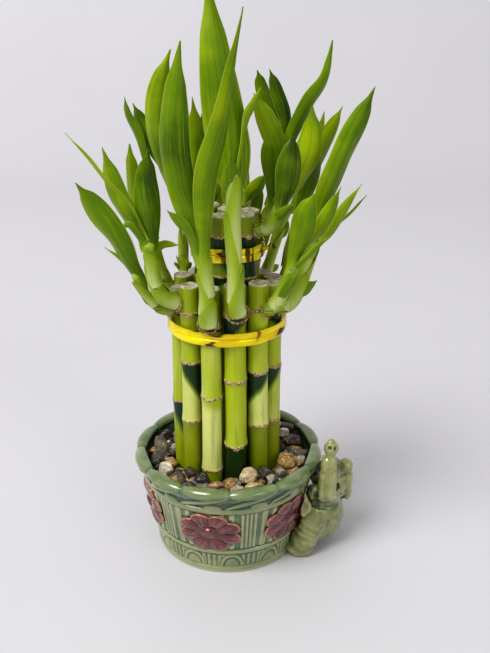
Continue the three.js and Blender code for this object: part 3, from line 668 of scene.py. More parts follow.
def make_elephant(material):
    bm = bmesh.new()
    for centre, radii, turn in [*TORSO, *LIMBS, *FACE, *RUFFLE]:
        add_ball(bm, centre, radii, turn)
    for path, radii in TUBES:
        add_tube(bm, path, radii, rows=24, sides=24)
    skin = weld(bm)
    bmesh.ops.bisect_plane(skin, geom=[*skin.verts, *skin.edges, *skin.faces], plane_co=(0, 0, 0.2),
                           plane_no=(0, 0, 1), clear_inner=True)
    bmesh.ops.holes_fill(skin, edges=[edge for edge in skin.edges if edge.is_boundary])
    layer = skin.verts.layers.float_color.new("depth")
    skin.normal_update()
    moves = [(vert, fold_depth(vert.co), vert.normal.copy()) for vert in skin.verts]
    for vert, deep, normal in moves:
        rough = 0.3 * noise.noise(vert.co * 0.3) + 0.1 * noise.noise(vert.co * 1.1)
        vert.co += normal * (rough - deep)
        vert[layer] = (min(1, deep * 0.8), 0, 0, 1)
    push_off_wall(skin)
    mark_hollows(skin, layer, rounds=32, depth=1.5)
    return finish_mesh(skin, "elephant_hide", material, sharp=2.0)


def push_off_wall(skin):
    """Keeps the hide a hair outside the wall, the rim and the flower that it leans on."""
    for vert in skin.verts:
        radius = vert.co.xy.length
        turn = math.radians(azimuth_of(vert.co) - FLOWER_AZIMUTHS[-1]) * radius / FLOWER_HALF_WIDTH
        reach = math.hypot(turn, (vert.co.z - FLOWER_HEIGHT) / FLOWER_HALF_HEIGHT)
        limit = wall_radius(vert.co.z) + mix(4.0, 0.7, smooth((reach - 0.85) / 0.25))
        if vert.co.z > 44:
            limit = mix(limit, RIM_RADIUS + 2.0, smooth((vert.co.z - 44) / 6))
        if vert.co.z < 62 and radius < limit:
            set_reach(vert, limit)


# %% Olive glaze
def make_olive():
    """Thicker and browner than the pot's glaze, dark in every fold and pale on the crests, partly from glaze
    pooling and thinning, partly as painted shade and painted highlight.
    """
    glaze = Paint("olive_glaze", 0.18, coat_weight=0.9, coat_roughness=0.04)
    depth, _, hollow, _ = glaze.stored("depth")
    cloud = glaze.speckle(70, detail=5, roughness=0.6)
    fine = glaze.speckle(420)
    pooled_glaze_and_shade = glaze.plus(depth, glaze.swing(cloud, 1))
    colour = glaze.layers(
        "92955c", ("616f33", cloud, 0.35, 0.65), ("34441e", pooled_glaze_and_shade, 0.3, 1.0),
        ("26321a", hollow, 0.54, 0.95), ("b0aa74", hollow, 0.45, 0.15, 0.6), ("5a5a2c", fine, 0.62, 0.8))
    return glaze.finish(colour, glaze.plus(fine, cloud), 0.0005, 0.3)


stand_for(make_elephant(make_olive()), "olive_glaze", "elephant")


# %% [markdown]
# ## The pebbles
# River pebbles hold the canes upright. They are worn round, each of its own stone: quartz,
# sandstone, slate, granite. Every one starts as an icosphere that is squashed, knocked flat on a
# few sides and roughened. The big ones at the front are listed one by one, and the rest fill the
# ring between the canes and the wall by a seeded rule. Each pebble carries its own colour, stored
# on its points, so one material serves them all.

# %% Set pebbles: place, size and stone
STONES = {"quartz": "e4ddca", "cream": "d6c39a", "ochre": "b8924e", "tan": "a98a62", "grey": "8d8a80",
          "brown": "4f4336", "slate": "26272b", "olive": "6f6650", "granite": "a19c90"}
SET_PEBBLES = [
    ((-39.5, 4, 54.5), (6, 6, 8.5), "olive"), ((-32, -11, 53), (4.5, 4, 4), "ochre"),
    ((-34.4, -18, 53), (5.8, 5, 5), "quartz"), ((-26, -26, 51.5), (5, 4, 4), "granite"),
    ((-20, -26, 55.5), (5.5, 4.5, 4), "brown"), ((-14, -31, 55), (5.5, 4.5, 4.5), "slate"),
    ((-19, -33, 51), (4.5, 4, 3), "slate"), ((-6, -37, 54.5), (5, 4, 3), "tan"),
    ((1.5, -36.5, 55), (4, 4, 3.5), "ochre"), ((5, -41, 54), (5, 3.5, 3), "quartz"),
    ((11.5, -31.5, 57.5), (6, 5, 5.2), "cream"), ((15, -38.5, 55), (6, 4, 3.2), "cream"),
    ((20.5, -28, 58), (4.9, 4.5, 4.8), "brown"), ((24.5, -32.5, 55.5), (3.8, 3.8, 3), "granite"),
    ((29.5, -27, 56.5), (4.1, 4, 5), "granite"), ((33.2, -15.5, 57), (8, 5.5, 5), "ochre"),
    ((42, -8, 53.5), (3, 4, 4), "quartz"), ((37.7, 0, 53.5), (3, 3.5, 3.2), "grey"),
    ((31.5, 5, 52), (3, 4, 4.5), "slate"), ((38, 9, 56), (6, 5, 4.3), "brown"),
    ((32.5, 17.5, 57), (4.2, 4.2, 4.2), "quartz"), ((35, 24, 57), (5.6, 4.5, 3.8), "brown"),
    ((-41, -8, 50), (4, 5, 4), "brown"), ((-38, 19, 54), (6, 5, 4.5), "brown"),
]
FILL_COUNT = 150
FLATS, FLAT_REACH = 9, 0.62    # flat faces knocked on a pebble, and how far out from its middle
# Height of the dark disc of painted shade under the pebbles.
SHADE_DISC_HEIGHT = 46.5
STONE_KEYS = sorted(STONES)


def add_pebble(bm, layer, centre, radii, stone, rng):
    ball = bmesh.ops.create_icosphere(bm, subdivisions=3, radius=1)["verts"]
    turn = Matrix.Rotation(rng.uniform(-0.5, 0.5), 3, "Z") @ Matrix.Rotation(rng.uniform(-0.3, 0.3), 3, "X")
    flats = [Vector([rng.gauss(0, 1) for _ in range(3)]).normalized() for _ in range(FLATS)]
    offset = Vector((rng.random() * 50, rng.random() * 50, rng.random() * 50))
    shade = rgb(STONES[stone])
    for vert in ball:
        way = vert.co.copy()
        for flat in flats:
            over = way.dot(flat) - FLAT_REACH
            if over > 0:
                way -= flat * over
        way *= 1 + 0.14 * noise.noise(way * 1.3 + offset) + 0.03 * noise.noise(way * 5 + offset)
        vert.co = turn @ Vector((way.x * radii[0], way.y * radii[1], way.z * radii[2])) + Vector(centre)
        vert[layer] = (shade[0], shade[1], shade[2], offset.x / 50)


def hold_in_bowl(vert):
    """Keeps a point inside the wall."""
    limit = mix(45.0, 46.8, smooth((vert.co.z - 46) / 8))
    if vert.co.xy.length > limit:
        set_reach(vert, limit)


def make_gravel(material):
    rng = random.Random(7)
    bm = bmesh.new()
    layer = bm.verts.layers.float_color.new("stone")
    for centre, radii, stone in SET_PEBBLES:
        add_pebble(bm, layer, centre, radii, stone, rng)
    for index in range(FILL_COUNT):
        spot = outward(index * 137.5) * mix(31, 43, rng.random() ** 0.8)
        size = rng.uniform(3.0, 5.6)
        height = rng.uniform(47.5, 53)
        radii = (size * rng.uniform(0.95, 1.3), size, size * rng.uniform(0.7, 0.95))
        add_pebble(bm, layer, (spot.x, spot.y, height), radii, rng.choice(STONE_KEYS), rng)
    # A near-black disc under the pebbles: painted shade that shows through the gaps between them.
    shade_disc = bmesh.ops.create_cone(bm, cap_ends=True, segments=96, radius1=44.4, radius2=44.9,
                                depth=1.0)["verts"]
    bmesh.ops.translate(bm, verts=shade_disc, vec=(0, 0, SHADE_DISC_HEIGHT))
    for vert in shade_disc:
        vert[layer] = (*rgb("2a2a26")[:3], 0.5)
    for vert in bm.verts:
        hold_in_bowl(vert)
    return finish_mesh(bm, "pebbles", material, sharp=1.4)


# %% Damp stone
def make_stone():
    """Each pebble's own colour, with grains and veins, and a thin film of water over it."""
    stone = Paint("wet_stone", 0.4, coat_weight=0.5, coat_roughness=0.1)
    own = stone.add("ShaderNodeAttribute", attribute_name="stone").outputs["Color"]
    grain = stone.speckle(900, detail=5, roughness=0.7)
    vein = stone.speckle(150, detail=6, roughness=0.75, stretch=(1, 1, 3))
    mottled = stone.blend(stone.band(vein, 0.3, 0.7), (0.4, 0.36, 0.32, 1), (1.3, 1.26, 1.18, 1))
    tinted = stone.blend(1.0, own, mottled, "MULTIPLY")
    colour = stone.layers(tinted, ("2a2620", grain, 0.54, 0.64), ("efe6d2", grain, 0.42, 0.3))
    return stone.finish(colour, stone.plus(grain, vein), 0.0008, 0.7)


stand_for(make_gravel(make_stone()), "wet_stone", "gravel")


# %% [markdown]
# ## The canes
# Twelve canes are tied round the edge of the lower tier and seven stand in the upper one. Each is
# a profile spun round its own axis, with a torn papery ring wherever a leaf once clasped it. Below
# a ring the skin is often dark, in a wedge that runs out along one side, and above it pale, so
# each ring in the table brings three values with it: its height, how far the wedge runs down and
# to which side, and how pale the skin is below. Everything is stored on the points as masks.

# %% Where the canes stand, and their rings
BUNDLE_RADIUS = 31.4
UPPER_CENTRE, UPPER_RING_RADIUS, UPPER_RADIUS = (0.6, 0.3), 12.6, 6.1
CANE_FOOT = 4.3
SIDE_AZIMUTH = 95              # canes beyond it are seen from behind, the others from the front
# azimuth, radius, cut height, paleness of the topmost stretch, then the rings:
# height, length of the dark wedge (negative runs down the left side), paleness below
LOWER_CANES = [
    (-79, 6.1, 158, 0.3, [(146, 5, 0.45), (92, 34, 0.25)]),
    (-49, 6.0, 163.5, 0.25, [(149.5, 3, 0.3), (121, 25, 0.7), (85.5, 2, 0.15)]),
    (-19, 6.2, 164, 0.2, [(144, 4, 0.6), (103, 2, 0.95), (59, 1, 0.3)]),
    (11, 6.5, 166, 0.4, [(150, -17, 0.45), (113.5, 2, 0.5), (75, 200, 0.0)]),
    (42, 6.2, 165.5, 0.3, [(152, 3, 0.5), (116.5, -21, 0.75), (84, 2, 0.1)]),
    (71.5, 6.0, 162, 0.3, [(149, 12, 0.45), (115, -22, 0.6), (82, 2, 0.1)]),
    (101, 6.1, 161, 0.3, [(149, 8, 0.4), (108, -26, 0.6), (70, 4, 0.3)]),
    (131, 6.3, 160, 0.3, [(148, -12, 0.4), (98, 30, 0.5), (64, 4, 0.2)]),
    (161, 6.0, 158, 0.2, [(141, 20, 0.5), (88, 40, 0.4)]),
    (-169, 6.2, 161, 0.3, [(140, -26, 0.4), (110, 22, 0.6), (74, 6, 0.2)]),
    (-139, 6.1, 160, 0.4, [(149, 6, 0.5), (104, -30, 0.7), (66, 4, 0.3)]),
    (-109, 6.0, 161, 0.3, [(149, 9, 0.4), (95, 44, 0.4)])]
UPPER_CANES = [
    (-12, 199.5, 0.1, [(189.5, 30, 0.1), (168, -8, 0.2)]), (48, 199, 0.15, [(189, 60, 0.1), (166, 8, 0.2)]),
    (108, 198, 0.2, [(191, 30, 0.2), (170, 8, 0.2)]), (168, 199, 0.1, [(188, 20, 0.2), (165, -8, 0.2)]),
    (-132, 200, 0.2, [(188, -20, 0.3), (169, 8, 0.2)]), (-72, 198, 0.15, [(182, -25, 0.2), (166, 8, 0.2)])]


def place_canes():
    """Every cane: name, azimuth it is seen from, its axis, radius, cut height, paleness and rings."""
    canes = []
    for index, (azimuth, radius, *rest) in enumerate(LOWER_CANES, start=1):
        spot = outward(azimuth) * (BUNDLE_RADIUS - radius)
        canes.append((f"lower_{index}", 0 if abs(azimuth) < SIDE_AZIMUTH else 180, spot, radius, *rest))
    middle = Vector((*UPPER_CENTRE, 0))
    for index, (azimuth, *rest) in enumerate(UPPER_CANES, start=1):
        spot = outward(azimuth) * UPPER_RING_RADIUS + middle
        canes.append((f"upper_{index}", 0 if abs(azimuth) < SIDE_AZIMUTH else 180, spot, UPPER_RADIUS, *rest))
    canes.append(("upper_7", 0, middle, UPPER_RADIUS, 200, 0.2, [(187, 10, 0.2)]))
    return canes


# %% One cane
CANE_STEPS = 48
RING_ROWS = (-3.4, -2.6, -2.0, -1.5, -1.1, -0.75, -0.45, -0.2, 0.0, 0.2, 0.45, 0.8, 1.4, 2.4)


def cane_profile(radius, top, rings):
    """Radius and height up the cane, with rows gathered round each ring."""
    heights = [CANE_FOOT + (top - 2 - CANE_FOOT) * i / 60 for i in range(61)]
    for height, *_ in rings:
        heights += [height + step for step in RING_ROWS]
    profile = [(0, CANE_FOOT)] + [(radius - 0.75, height) for height in sorted(heights)]
    return profile + [(radius - 0.8, top - 1.2), (radius - 0.85, top - 0.6), (radius - 1.0, top - 0.2),
                      (radius - 1.4, top), (radius - 2.2, top - 0.25), (radius - 3.5, top - 0.5),
                      (radius - 4.8, top - 0.55), (0, top - 0.6)]


def torn(turn, seed, index):
    """Ragged edge of a papery ring round the cane, about -1 to 1."""
    around = Vector((1.6 * math.cos(turn), 1.6 * math.sin(turn), seed * 3.1 + index))
    return noise.noise(around) + 0.5 * noise.noise(around * 4)


def mark_cane(vert, layer, facing, radius, top, pale, rings, seed):
    """Stores the masks of one point (ring, wedge, cut top, paleness) and shapes the ring there."""
    height, turn = vert.co.z, math.atan2(vert.co.y, vert.co.x)
    local = (azimuth_of(vert.co) - facing + 540) % 360 - 180
    ring_mask, wedge, push = 0.0, 0.0, 0.0
    shade = pale
    for index, (ring, run, below) in enumerate(rings):
        ragged = torn(turn, seed, index)
        drop = ring + 0.9 * torn(turn * 0.5, seed, index + 9) - height
        thick = 0.8 + 2.2 * max(0.0, ragged)
        ring_mask = max(ring_mask, smooth((drop + 0.5) / 0.35) * smooth((thick - drop) / 0.35 + 0.5))
        push = max(push, math.exp(-((height - ring) / 3.5) ** 2) * 0.4
                   + (0.35 + 0.4 * ragged) * math.exp(-((drop - 0.2) / 0.6) ** 2))
        if drop > 0:
            edge = mix(-100, 90, min(1.5, drop / abs(run)))
            wedge = min(1.0, max(0.0, 0.5 + (math.copysign(local, local * run) - edge) / 120))
            wedge *= smooth((1.3 * abs(run) - drop) / 4)
            shade = mix(below * 0.6, below * 1.15, smooth(drop / 12)) * mix(1, 0.7, smooth((drop - 30) / 30))
    cut = smooth((height - top + 0.75) / 0.35)
    vert[layer] = (ring_mask, wedge, cut, shade)
    reach = vert.co.xy.length
    if reach > radius - 1:
        set_reach(vert, reach + push)
    if cut > 0.3:
        vert.co.z += 0.35 * noise.noise((vert.co.x * 0.4, vert.co.y * 0.4, seed * 1.7))


def make_cane(name, facing, spot, radius, top, pale, rings, material, seed):
    bm = bmesh.new()
    layer = bm.verts.layers.float_color.new("growth")
    lathe(bm, cane_profile(radius, top, rings), CANE_STEPS)
    for vert in bm.verts:
        mark_cane(vert, layer, facing, radius, top, pale, rings, seed)
        sway = math.sin(vert.co.z * 0.045 + seed), math.cos(vert.co.z * 0.037 + 2 * seed), 0
        vert.co += spot + 0.25 * Vector(sway)
    return finish_mesh(bm, name, material, sharp=1.3)


# %% Skin of a living cane
def make_skin():
    """Green skin, yellow in the light and dark under each ring; tan paper; a waxed cut top."""
    skin = Paint("cane_skin", 0.34, specular_ior_level=0.35)
    ring, wedge, cut, paleness = skin.stored("growth")
    streak = skin.speckle(420, detail=4, stretch=(1, 1, 0.06))
    cloud = skin.speckle(70, stretch=(1, 1, 0.35))
    fleck = skin.speckle(700, detail=2, stretch=(1, 1, 0.6))
    crumb = skin.speckle(1100, detail=4, roughness=0.7)
    edge = skin.plus(wedge, skin.swing(streak, 0.18))
    paper = skin.layers("5a3814", ("e2cca0", crumb, 0.38, 0.62))
    wood = skin.layers("ded5c4", ("a99a80", skin.speckle(300, detail=5), 0.4, 0.65))
    colour = skin.layers(
        "6f7c00", ("86900a", cloud, 0.35, 0.65), ("a9b814", paleness, 0.0, 0.45),
        ("d4d880", skin.plus(paleness, skin.swing(cloud, 0.7)), 0.5, 1.0),
        ("80940c", streak, 0.5, 0.75, 0.6), ("4f6a14", fleck, 0.7, 0.78), ("5c7a08", edge, 0.2, 0.5),
        ("17340a", edge, 0.42, 0.66), ("9a7a30", ring, 0.02, 0.35), (paper, ring, 0.35, 0.6), (wood, cut))
    dry = skin.band(skin.plus(ring, cut), 0.3, 0.6)
    skin.fill(skin.sockets["Roughness"], skin.blend(dry, (0.3, 0.3, 0.3, 1), (0.8, 0.8, 0.8, 1)))
    return skin.finish(colour, skin.plus(streak, crumb), 0.0003, 0.35)


cane_skin = make_skin()
for seed, (name, *shape) in enumerate(place_canes(), start=1):
    stand_for(make_cane(f"culm_{name}", *shape, cane_skin, seed), "cane_skin", f"cane_{name}")


# %% [markdown]
# ## The gold ties
# Metallic gift ribbon goes round both tiers, two strips edge to edge, and round the upper tier
# its ends are twisted into a small tail. A flat ring is spun, then creased: foil keeps every fold
# it is given, and each fold mirrors another part of the room. The dark parts of those reflections
# are painted into the foil's colour, as browns in patches, in the creases and in upright bars.

# %% Ribbon round a bundle
TIE_STEPS, TIE_ROWS = 240, 14


def make_ribbon(bm, radius, height, half_width, centre, ripple):
    """Two strips edge to edge, wavy in and out and up and down."""
    profile = [(radius + 0.05, height - half_width)]
    for i in range(TIE_ROWS + 1):
        share = i / TIE_ROWS
        seam = 0.35 * math.exp(-((share - 0.5) / 0.05) ** 2)
        bulge = 0.35 * math.sin(math.pi * ((share * 2) % 1))
        profile.append((radius + 0.55 + bulge - seam, height - half_width + 2 * half_width * share))
    lathe(bm, [*profile, (radius + 0.05, height + half_width)], TIE_STEPS, closed=True)
    for vert in bm.verts:
        turn = math.atan2(vert.co.y, vert.co.x)
        around = Vector((4 * math.cos(turn), 4 * math.sin(turn), height))
        reach = vert.co.xy.length
        if reach > radius + 0.3:
            lift = ripple * 0.5 * noise.noise(around + Vector((0, 0, vert.co.z * 0.25)))
            set_reach(vert, reach + lift)
        vert.co.z += 0.5 * ripple * noise.noise(around * 0.8 + Vector((9, 0, 0)))
        vert.co += Vector((*centre, 0))


def make_tie(name, material, radius, height, half_width, centre, ripple, tail=None):
    bm = bmesh.new()
    make_ribbon(bm, radius, height, half_width, centre, ripple)
    if tail:
        add_tube(bm, *tail, rows=20, sides=10)
    return finish_mesh(bm, name, material, sharp=1.0)


# %% Gold foil
def make_gold():
    """Bright yellow foil with painted brown reflections, in patches, in the creases and in upright bars on
    the upper tie, where a fold would mirror the dark side of the room.
    """
    foil = Paint("gold_foil", 0.24, metallic=0.35)
    crinkle_and_dark_reflection = foil.speckle(200, stretch=(1, 1, 0.35))
    reflection_patch = foil.speckle(45, detail=2, stretch=(1, 1, 3))
    height = foil.add("ShaderNodeSeparateXYZ", {0: foil.where}).outputs[2]
    bars = foil.speckle(260, detail=2, stretch=(1, 1, 0.1))
    mirrored = foil.times(foil.band(height, 0.16, 0.17), foil.band(bars, 0.48, 0.58))
    # Painted reflections: the dark browns in patches, in the creases and in the upright bars of the upper tie
    # stand for the dark side of the room seen in the foil.
    colour = foil.layers("fff000", ("e8cc00", reflection_patch, 0.4, 0.62), ("4a2c08", reflection_patch, 0.64, 0.68),
                         ("6a4606", mirrored), ("8a5c10", crinkle_and_dark_reflection, 0.62, 0.74))
    return foil.finish(colour, crinkle_and_dark_reflection, 0.0008, 0.5)


gold = make_gold()
TWIST = [(19, -7, 180), (21.5, -8.5, 181), (24, -9.2, 182.5), (25.5, -10.5, 181)]
TIE_GAP = 0.3
lower_tie = make_tie("ribbon_lower", gold, BUNDLE_RADIUS + TIE_GAP, 138.2, 3.6, (0, 0), ripple=0.5)
upper_tie = make_tie("ribbon_upper", gold, UPPER_RING_RADIUS + UPPER_RADIUS + TIE_GAP, 179.2, 3.7,
                     UPPER_CENTRE, ripple=1.1, tail=(TWIST, [1.4, 1, 1.3, 0.7]))
stand_for(lower_tie, "gold_foil", "tie_lower")
stand_for(upper_tie, "gold_foil", "tie_upper")

# %% [markdown]
# ## The shoots
# Every shoot breaks from a ring near the top of a cane. Its stem is wrapped in the sheaths of its
# leaves, and each leaf is a long strap that starts as part of that wrap, opens out and bends over.
# So a leaf is a flat grid carried along a course: rolled round the stem at its base, gutter-shaped
# further up, and narrowed to a point. Solidify then gives the strip its thickness. Sheaths that
# carry no blade are shorter strips of the same kind, and the bud leaves a torn collar on the cane.
# Where a point lies across and along the leaf is stored on it, because veins, margins and the
# pale base of a leaf all follow those two directions, and so does the painted shade on one half
# of each blade. On a stem the place across says how far the skin faces out of the bundle, for a
# painted highlight on the outer side and painted shade on the inner side.

# %% One leaf
LEAF_ROWS, LEAF_COLUMNS, LEAF_THICKNESS = 44, 12, 0.35
PAPER = -2                     # stored as the place along a leaf, it means torn dry paper


def add_strip(bm, columns, rows):
    """A flat grid, as pairs of a point and its place across (-1 to 1) and along (0 to 1)."""
    strip = bmesh.ops.create_grid(bm, x_segments=columns, y_segments=rows, size=1)["verts"]
    return [(vert, vert.co.x, (vert.co.y + 1) / 2) for vert in strip]


def lean(path, share, azimuth):
    """Point and direction on a course, the way across it, and its front, that faces an azimuth."""
    middle, heading = follow(path, share)
    side = heading.cross(outward(azimuth)).normalized()
    return middle, heading, side, side.cross(heading).normalized()


def lance(share, widest):
    """Width of a lance-shaped blade along its length, as a share of its greatest width."""
    tail = min(1.0, max(0.0, (share - widest) / (1 - widest)))
    drawn_out = 1 - 0.4 * smooth((tail - 0.68) / 0.2)
    swell = mix(0.45, 1, smooth(share / widest))
    return max(0.03, swell * (1 - tail) ** 0.85 * (1 + 0.85 * tail) * drawn_out)


def add_leaf(bm, layer, stem_radius, seed, path, width, face, tone, widest):
    """A leaf along a path, its broad face turning from one azimuth to the other."""
    wraps = width > 6              # a narrow leaf has no sheath of its own round the stem
    for vert, across, share in add_strip(bm, LEAF_COLUMNS, LEAF_ROWS):
        middle, heading, side, front = lean(path, share, mix(*face, share * share))
        clasp = 1 - smooth(share / 0.16)
        half = width / 2 * lance(share, widest)
        roll_in = mix(0.6, 1.3, 1 - smooth(share / 0.3))
        grip = 0.9 * stem_radius + 0.45 * smooth(share / 0.1)
        arc = mix(half / math.sin(roll_in), grip, clasp * wraps)
        angle = across * roll_in * mix(1, 1.5, clasp)
        wave = 0.03 * width * math.sin(share * 17 + seed + across) * across ** 2 * smooth(share * 3)
        twist = 0.25 * math.sin(seed * 2.3 + share * 5) * smooth(share * 2)
        keel = 0.22 * half * (1 - abs(across)) * smooth(share * 4)
        offset = side * (arc * math.sin(angle)) + front * (arc * (math.cos(angle) - 1) + wave + keel)
        middle = middle + front * (grip * clasp * wraps)
        vert.co = middle + Matrix.Rotation(twist, 3, heading) @ offset
        vert[layer] = (across * 0.5 + 0.5, share, tone, (seed * 0.37) % 1)


# %% Sheaths without a blade, and the collar at the foot of a shoot
def add_sheath(bm, layer, stem, radii, start, length, facing, seed):
    """A short strip that clasps the stem and ends in a free point."""
    for vert, across, share in add_strip(bm, columns=14, rows=16):
        place = min(1.0, start + length * share)
        middle, _, side, front = lean(stem, place, facing)
        radius = between(radii, place) + 0.1 + 0.9 * share ** 3
        angle = across * mix(2.5, 0.12, share ** 1.4)
        vert.co = middle + side * (radius * math.sin(angle)) + front * (radius * math.cos(angle))
        vert[layer] = (across * 0.5 + 0.5, 0.12 * share - 0.35 * (1 - share), 0.15, (seed * 0.61) % 1)


def add_collar(bm, layer, stem, radii, seed):
    """The torn rim of the bud that the shoot broke out of, round the foot of its stem."""
    start, _ = follow(stem, 0.02)
    out = Vector((start.x, start.y, 0)).normalized()
    side = out.cross(Vector((0, 0, 1))).normalized()
    up = (Vector((0, 0, 1)) - out * 0.35).normalized()
    for vert, across, lift in add_strip(bm, columns=36, rows=4):
        turn = across * 2.2
        ragged = noise.noise((turn * 2.2, seed * 5.1, lift)) + 0.5 * noise.noise((turn * 9, seed * 3.3, lift))
        reach = radii[0] * 1.04 + 0.35 + 0.5 * lift + 0.35 * ragged * lift
        spot = start + side * (reach * math.sin(turn)) - up * (reach * 0.95 * math.cos(turn))
        vert.co = spot + out * (lift * 1.1 + 0.3 * ragged - 0.2)
        vert[layer] = (0.5, PAPER, 0.5, ragged * 0.5 + 0.5)


# %% A whole shoot
STEM_ROWS, STEM_SIDES = 36, 20
SHEATHS = [(0.02, 0.42, 50), (0.2, 0.5, -60), (0.45, 0.5, 35)]   # start, length, turn from the front


def round_end(bm, ring, end, reach):
    """Draws an end ring of a stem together and carries it on, so that the stem ends in a cone."""
    middle, heading = end
    bmesh.ops.scale(bm, verts=ring, vec=(0.4, 0.4, 0.4), space=Matrix.Translation(-middle))
    bmesh.ops.translate(bm, verts=ring, vec=heading * reach)


def make_shoot(name, stem, radii, leaves, material, seed):
    bm = bmesh.new()
    layer = bm.verts.layers.float_color.new("growth")
    for index, leaf in enumerate(leaves):
        add_leaf(bm, layer, radii[-1], seed + index * 1.3, **leaf)
    facing = azimuth_of(Vector(stem[-1]))
    for index, (start, length, turn) in enumerate(SHEATHS):
        add_sheath(bm, layer, stem, radii, start, length, facing + turn, seed + index)
    add_collar(bm, layer, stem, radii, seed)
    bmesh.ops.recalc_face_normals(bm, faces=bm.faces)
    bmesh.ops.solidify(bm, geom=bm.faces[:], thickness=LEAF_THICKNESS)
    rings = add_tube(bm, stem, [0.9 * radius for radius in radii], STEM_ROWS, STEM_SIDES)
    for row, ring in enumerate(rings):
        middle = sum((vert.co for vert in ring), Vector()) / len(ring)
        for vert in ring:
            # How far the skin faces out of the bundle, kept as the place across: the leaf paint makes the
            # outer side pale, a painted highlight, and the inner side darker, painted shade.
            shown = (vert.co - middle).normalized().dot(outward(facing))
            vert[layer] = (0.75 - 0.25 * shown, row / STEM_ROWS - 1, 0.5, seed % 1)
    round_end(bm, rings[0], follow(stem, 0), -2.4)
    round_end(bm, rings[-1], follow(stem, 1), 1.2)
    return finish_mesh(bm, name, material, sharp=1.2)


# %% Leaf green
def make_leaf():
    """Striped along the blade, pale at the margins and the base; painted shade darkens some whole leaves, one
    half of every blade and the inner side of each stem, and a painted highlight pales the outer side of each
    stem low down.
    """
    leaf = Paint("leaf", 0.36, specular_ior_level=0.18)
    across, along, tone, own = leaf.stored("growth")
    spot = {0: across, 1: leaf.times(along, 0.06), 2: leaf.times(own, 9.0)}
    grown = leaf.add("ShaderNodeCombineXYZ", spot).outputs[0]
    veins = leaf.speckle(42, detail=2, on=grown)
    stripes = leaf.speckle(9, on=grown)
    fibre = leaf.speckle(260, stretch=(1, 1, 0.12))
    crumb = leaf.speckle(900, detail=4)
    # tone is painted shade, given leaf by leaf and darker for leaves that lie in shadow; the noise adds real
    # patches.
    patches_and_painted_shade = leaf.plus(tone, leaf.swing(leaf.speckle(40), 1.3))
    # The swing on across is painted shade on one half of each blade and on the inner side of each stem; own
    # gives each leaf a tone of its own.
    mottle_and_painted_shade = leaf.plus(patches_and_painted_shade, leaf.plus(leaf.swing(across, 0.3), leaf.swing(own, 0.35)))
    margin = leaf.calc("ABSOLUTE", leaf.swing(across, 1), 0)
    # Pale down the outer side of each stem, low down: a painted highlight there, together with the pale foot
    # of the stem itself.
    middle = leaf.times(leaf.band(margin, 0.36, 0.0), leaf.band(along, 0.1, -0.45))
    blade_green = leaf.layers(
        "9ab000", ("648400", mottle_and_painted_shade, 0.0, 0.5), ("264200", mottle_and_painted_shade, 0.45, 1.0),
        ("3f6400", stripes, 0.42, 0.62, 0.3), ("a8b820", veins, 0.5, 0.68, 0.28))
    stem_green = leaf.layers(blade_green, ("94ac24", along, 0.2, -0.05), ("e6e8b4", leaf.times(middle, 0.65)),
                             ("8aa41c", fibre, 0.5, 0.7, 0.4))
    paper = leaf.layers("7a5224", ("d6bf98", crumb, 0.38, 0.62))
    colour = leaf.layers(stem_green, (blade_green, along, 0.0, 0.15), ("b8c450", margin, 0.46, 0.5, 0.7),
                         (paper, along, -1.3, -1.6))
    return leaf.finish(colour, leaf.plus(veins, stripes), 0.0003, 0.3)


leaf_green = make_leaf()


def course(text):
    """Points of a course, written as x y z in millimetres with commas between the points."""
    return [tuple(float(value) for value in point.split()) for point in text.split(",")]


def blade(path, width, face, tone=0.35, widest=0.5):
    """A leaf: course, width, azimuth of its broad face (or that at its foot and tip), and tone, the painted
    shade that darkens it.
    """
    turn = face if isinstance(face, tuple) else (face, face)
    return {"path": course(path), "width": width, "face": turn, "tone": tone, "widest": widest}


def shoot(name, stem, radii, *leaves):
    stem = course(stem)
    made = make_shoot(f"sprig_{name}", stem, radii, leaves, leaf_green, len(name) * 1.7 + stem[0][0] * 0.13)
    stand_for(made, "leaf", f"shoot_{name}")


# %% The shoots of the lower tier
shoot("front_left", "-9 -31 147, -9 -34 156, -9 -36 167, -10 -37 179, -10 -38 191", [4.6, 4.3, 3.4, 3.5, 3.2],
      blade("-10 -38 183, -10 -41 202, -8 -44 224, -2 -45 245, 3 -44 267, 9 -41 299", 12.5, (0, 75)),
      blade("-11 -37 180, -16 -35 200, -22 -33 222, -24 -31 240, -23 -28 260, -20 -24 284", 16.5, (-15, 0),
            tone=0.55),
      blade("-10 -39 180, -17 -41 198, -22 -41 204, -27 -41 209", 5, -20))
shoot("front_centre", "6 -31 153, 5 -34 161, 5 -35 177, 4 -35 198, 4 -34 215, 4 -33 226",
      [4.9, 4.4, 3.9, 3.9, 3.9, 3.2],
      blade("4 -33 212, 3 -30 228, 0 -27 253, -4 -22 280, -8 -12 314", 20.5, 0, tone=0.25, widest=0.36),
      blade("5 -33 215, 8 -31 236, 11 -27 250, 14 -24 256, 17 -22 263", 6, (80, 60)),
      blade("4 -34 202, 4 -35 216, 3 -37 234", 10.5, 0))
shoot("left_front", "-25 -19 154, -32 -22 159, -36 -24 168, -37 -25 179, -38 -26 189",
      [3.6, 4.2, 3.3, 3.3, 3.2],
      blade("-37 -26 181, -37 -28 200, -38 -30 219, -36 -30 236", 13, 0, tone=0.85),
      blade("-39 -25 185, -45 -24 197, -53 -22 212, -59 -20 235", 12, -25),
      blade("-39 -27 190, -45 -30 207, -56 -31 220, -65 -30 232, -75 -28 243", 5, (-80, -60)),
      blade("-39 -28 188, -44 -30 195, -47 -31 199, -50 -31 199", 4.5, -30),
      blade("-36 -22 173, -35 -20 182, -31 -20 186, -23 -21 186", 4.5, 0))
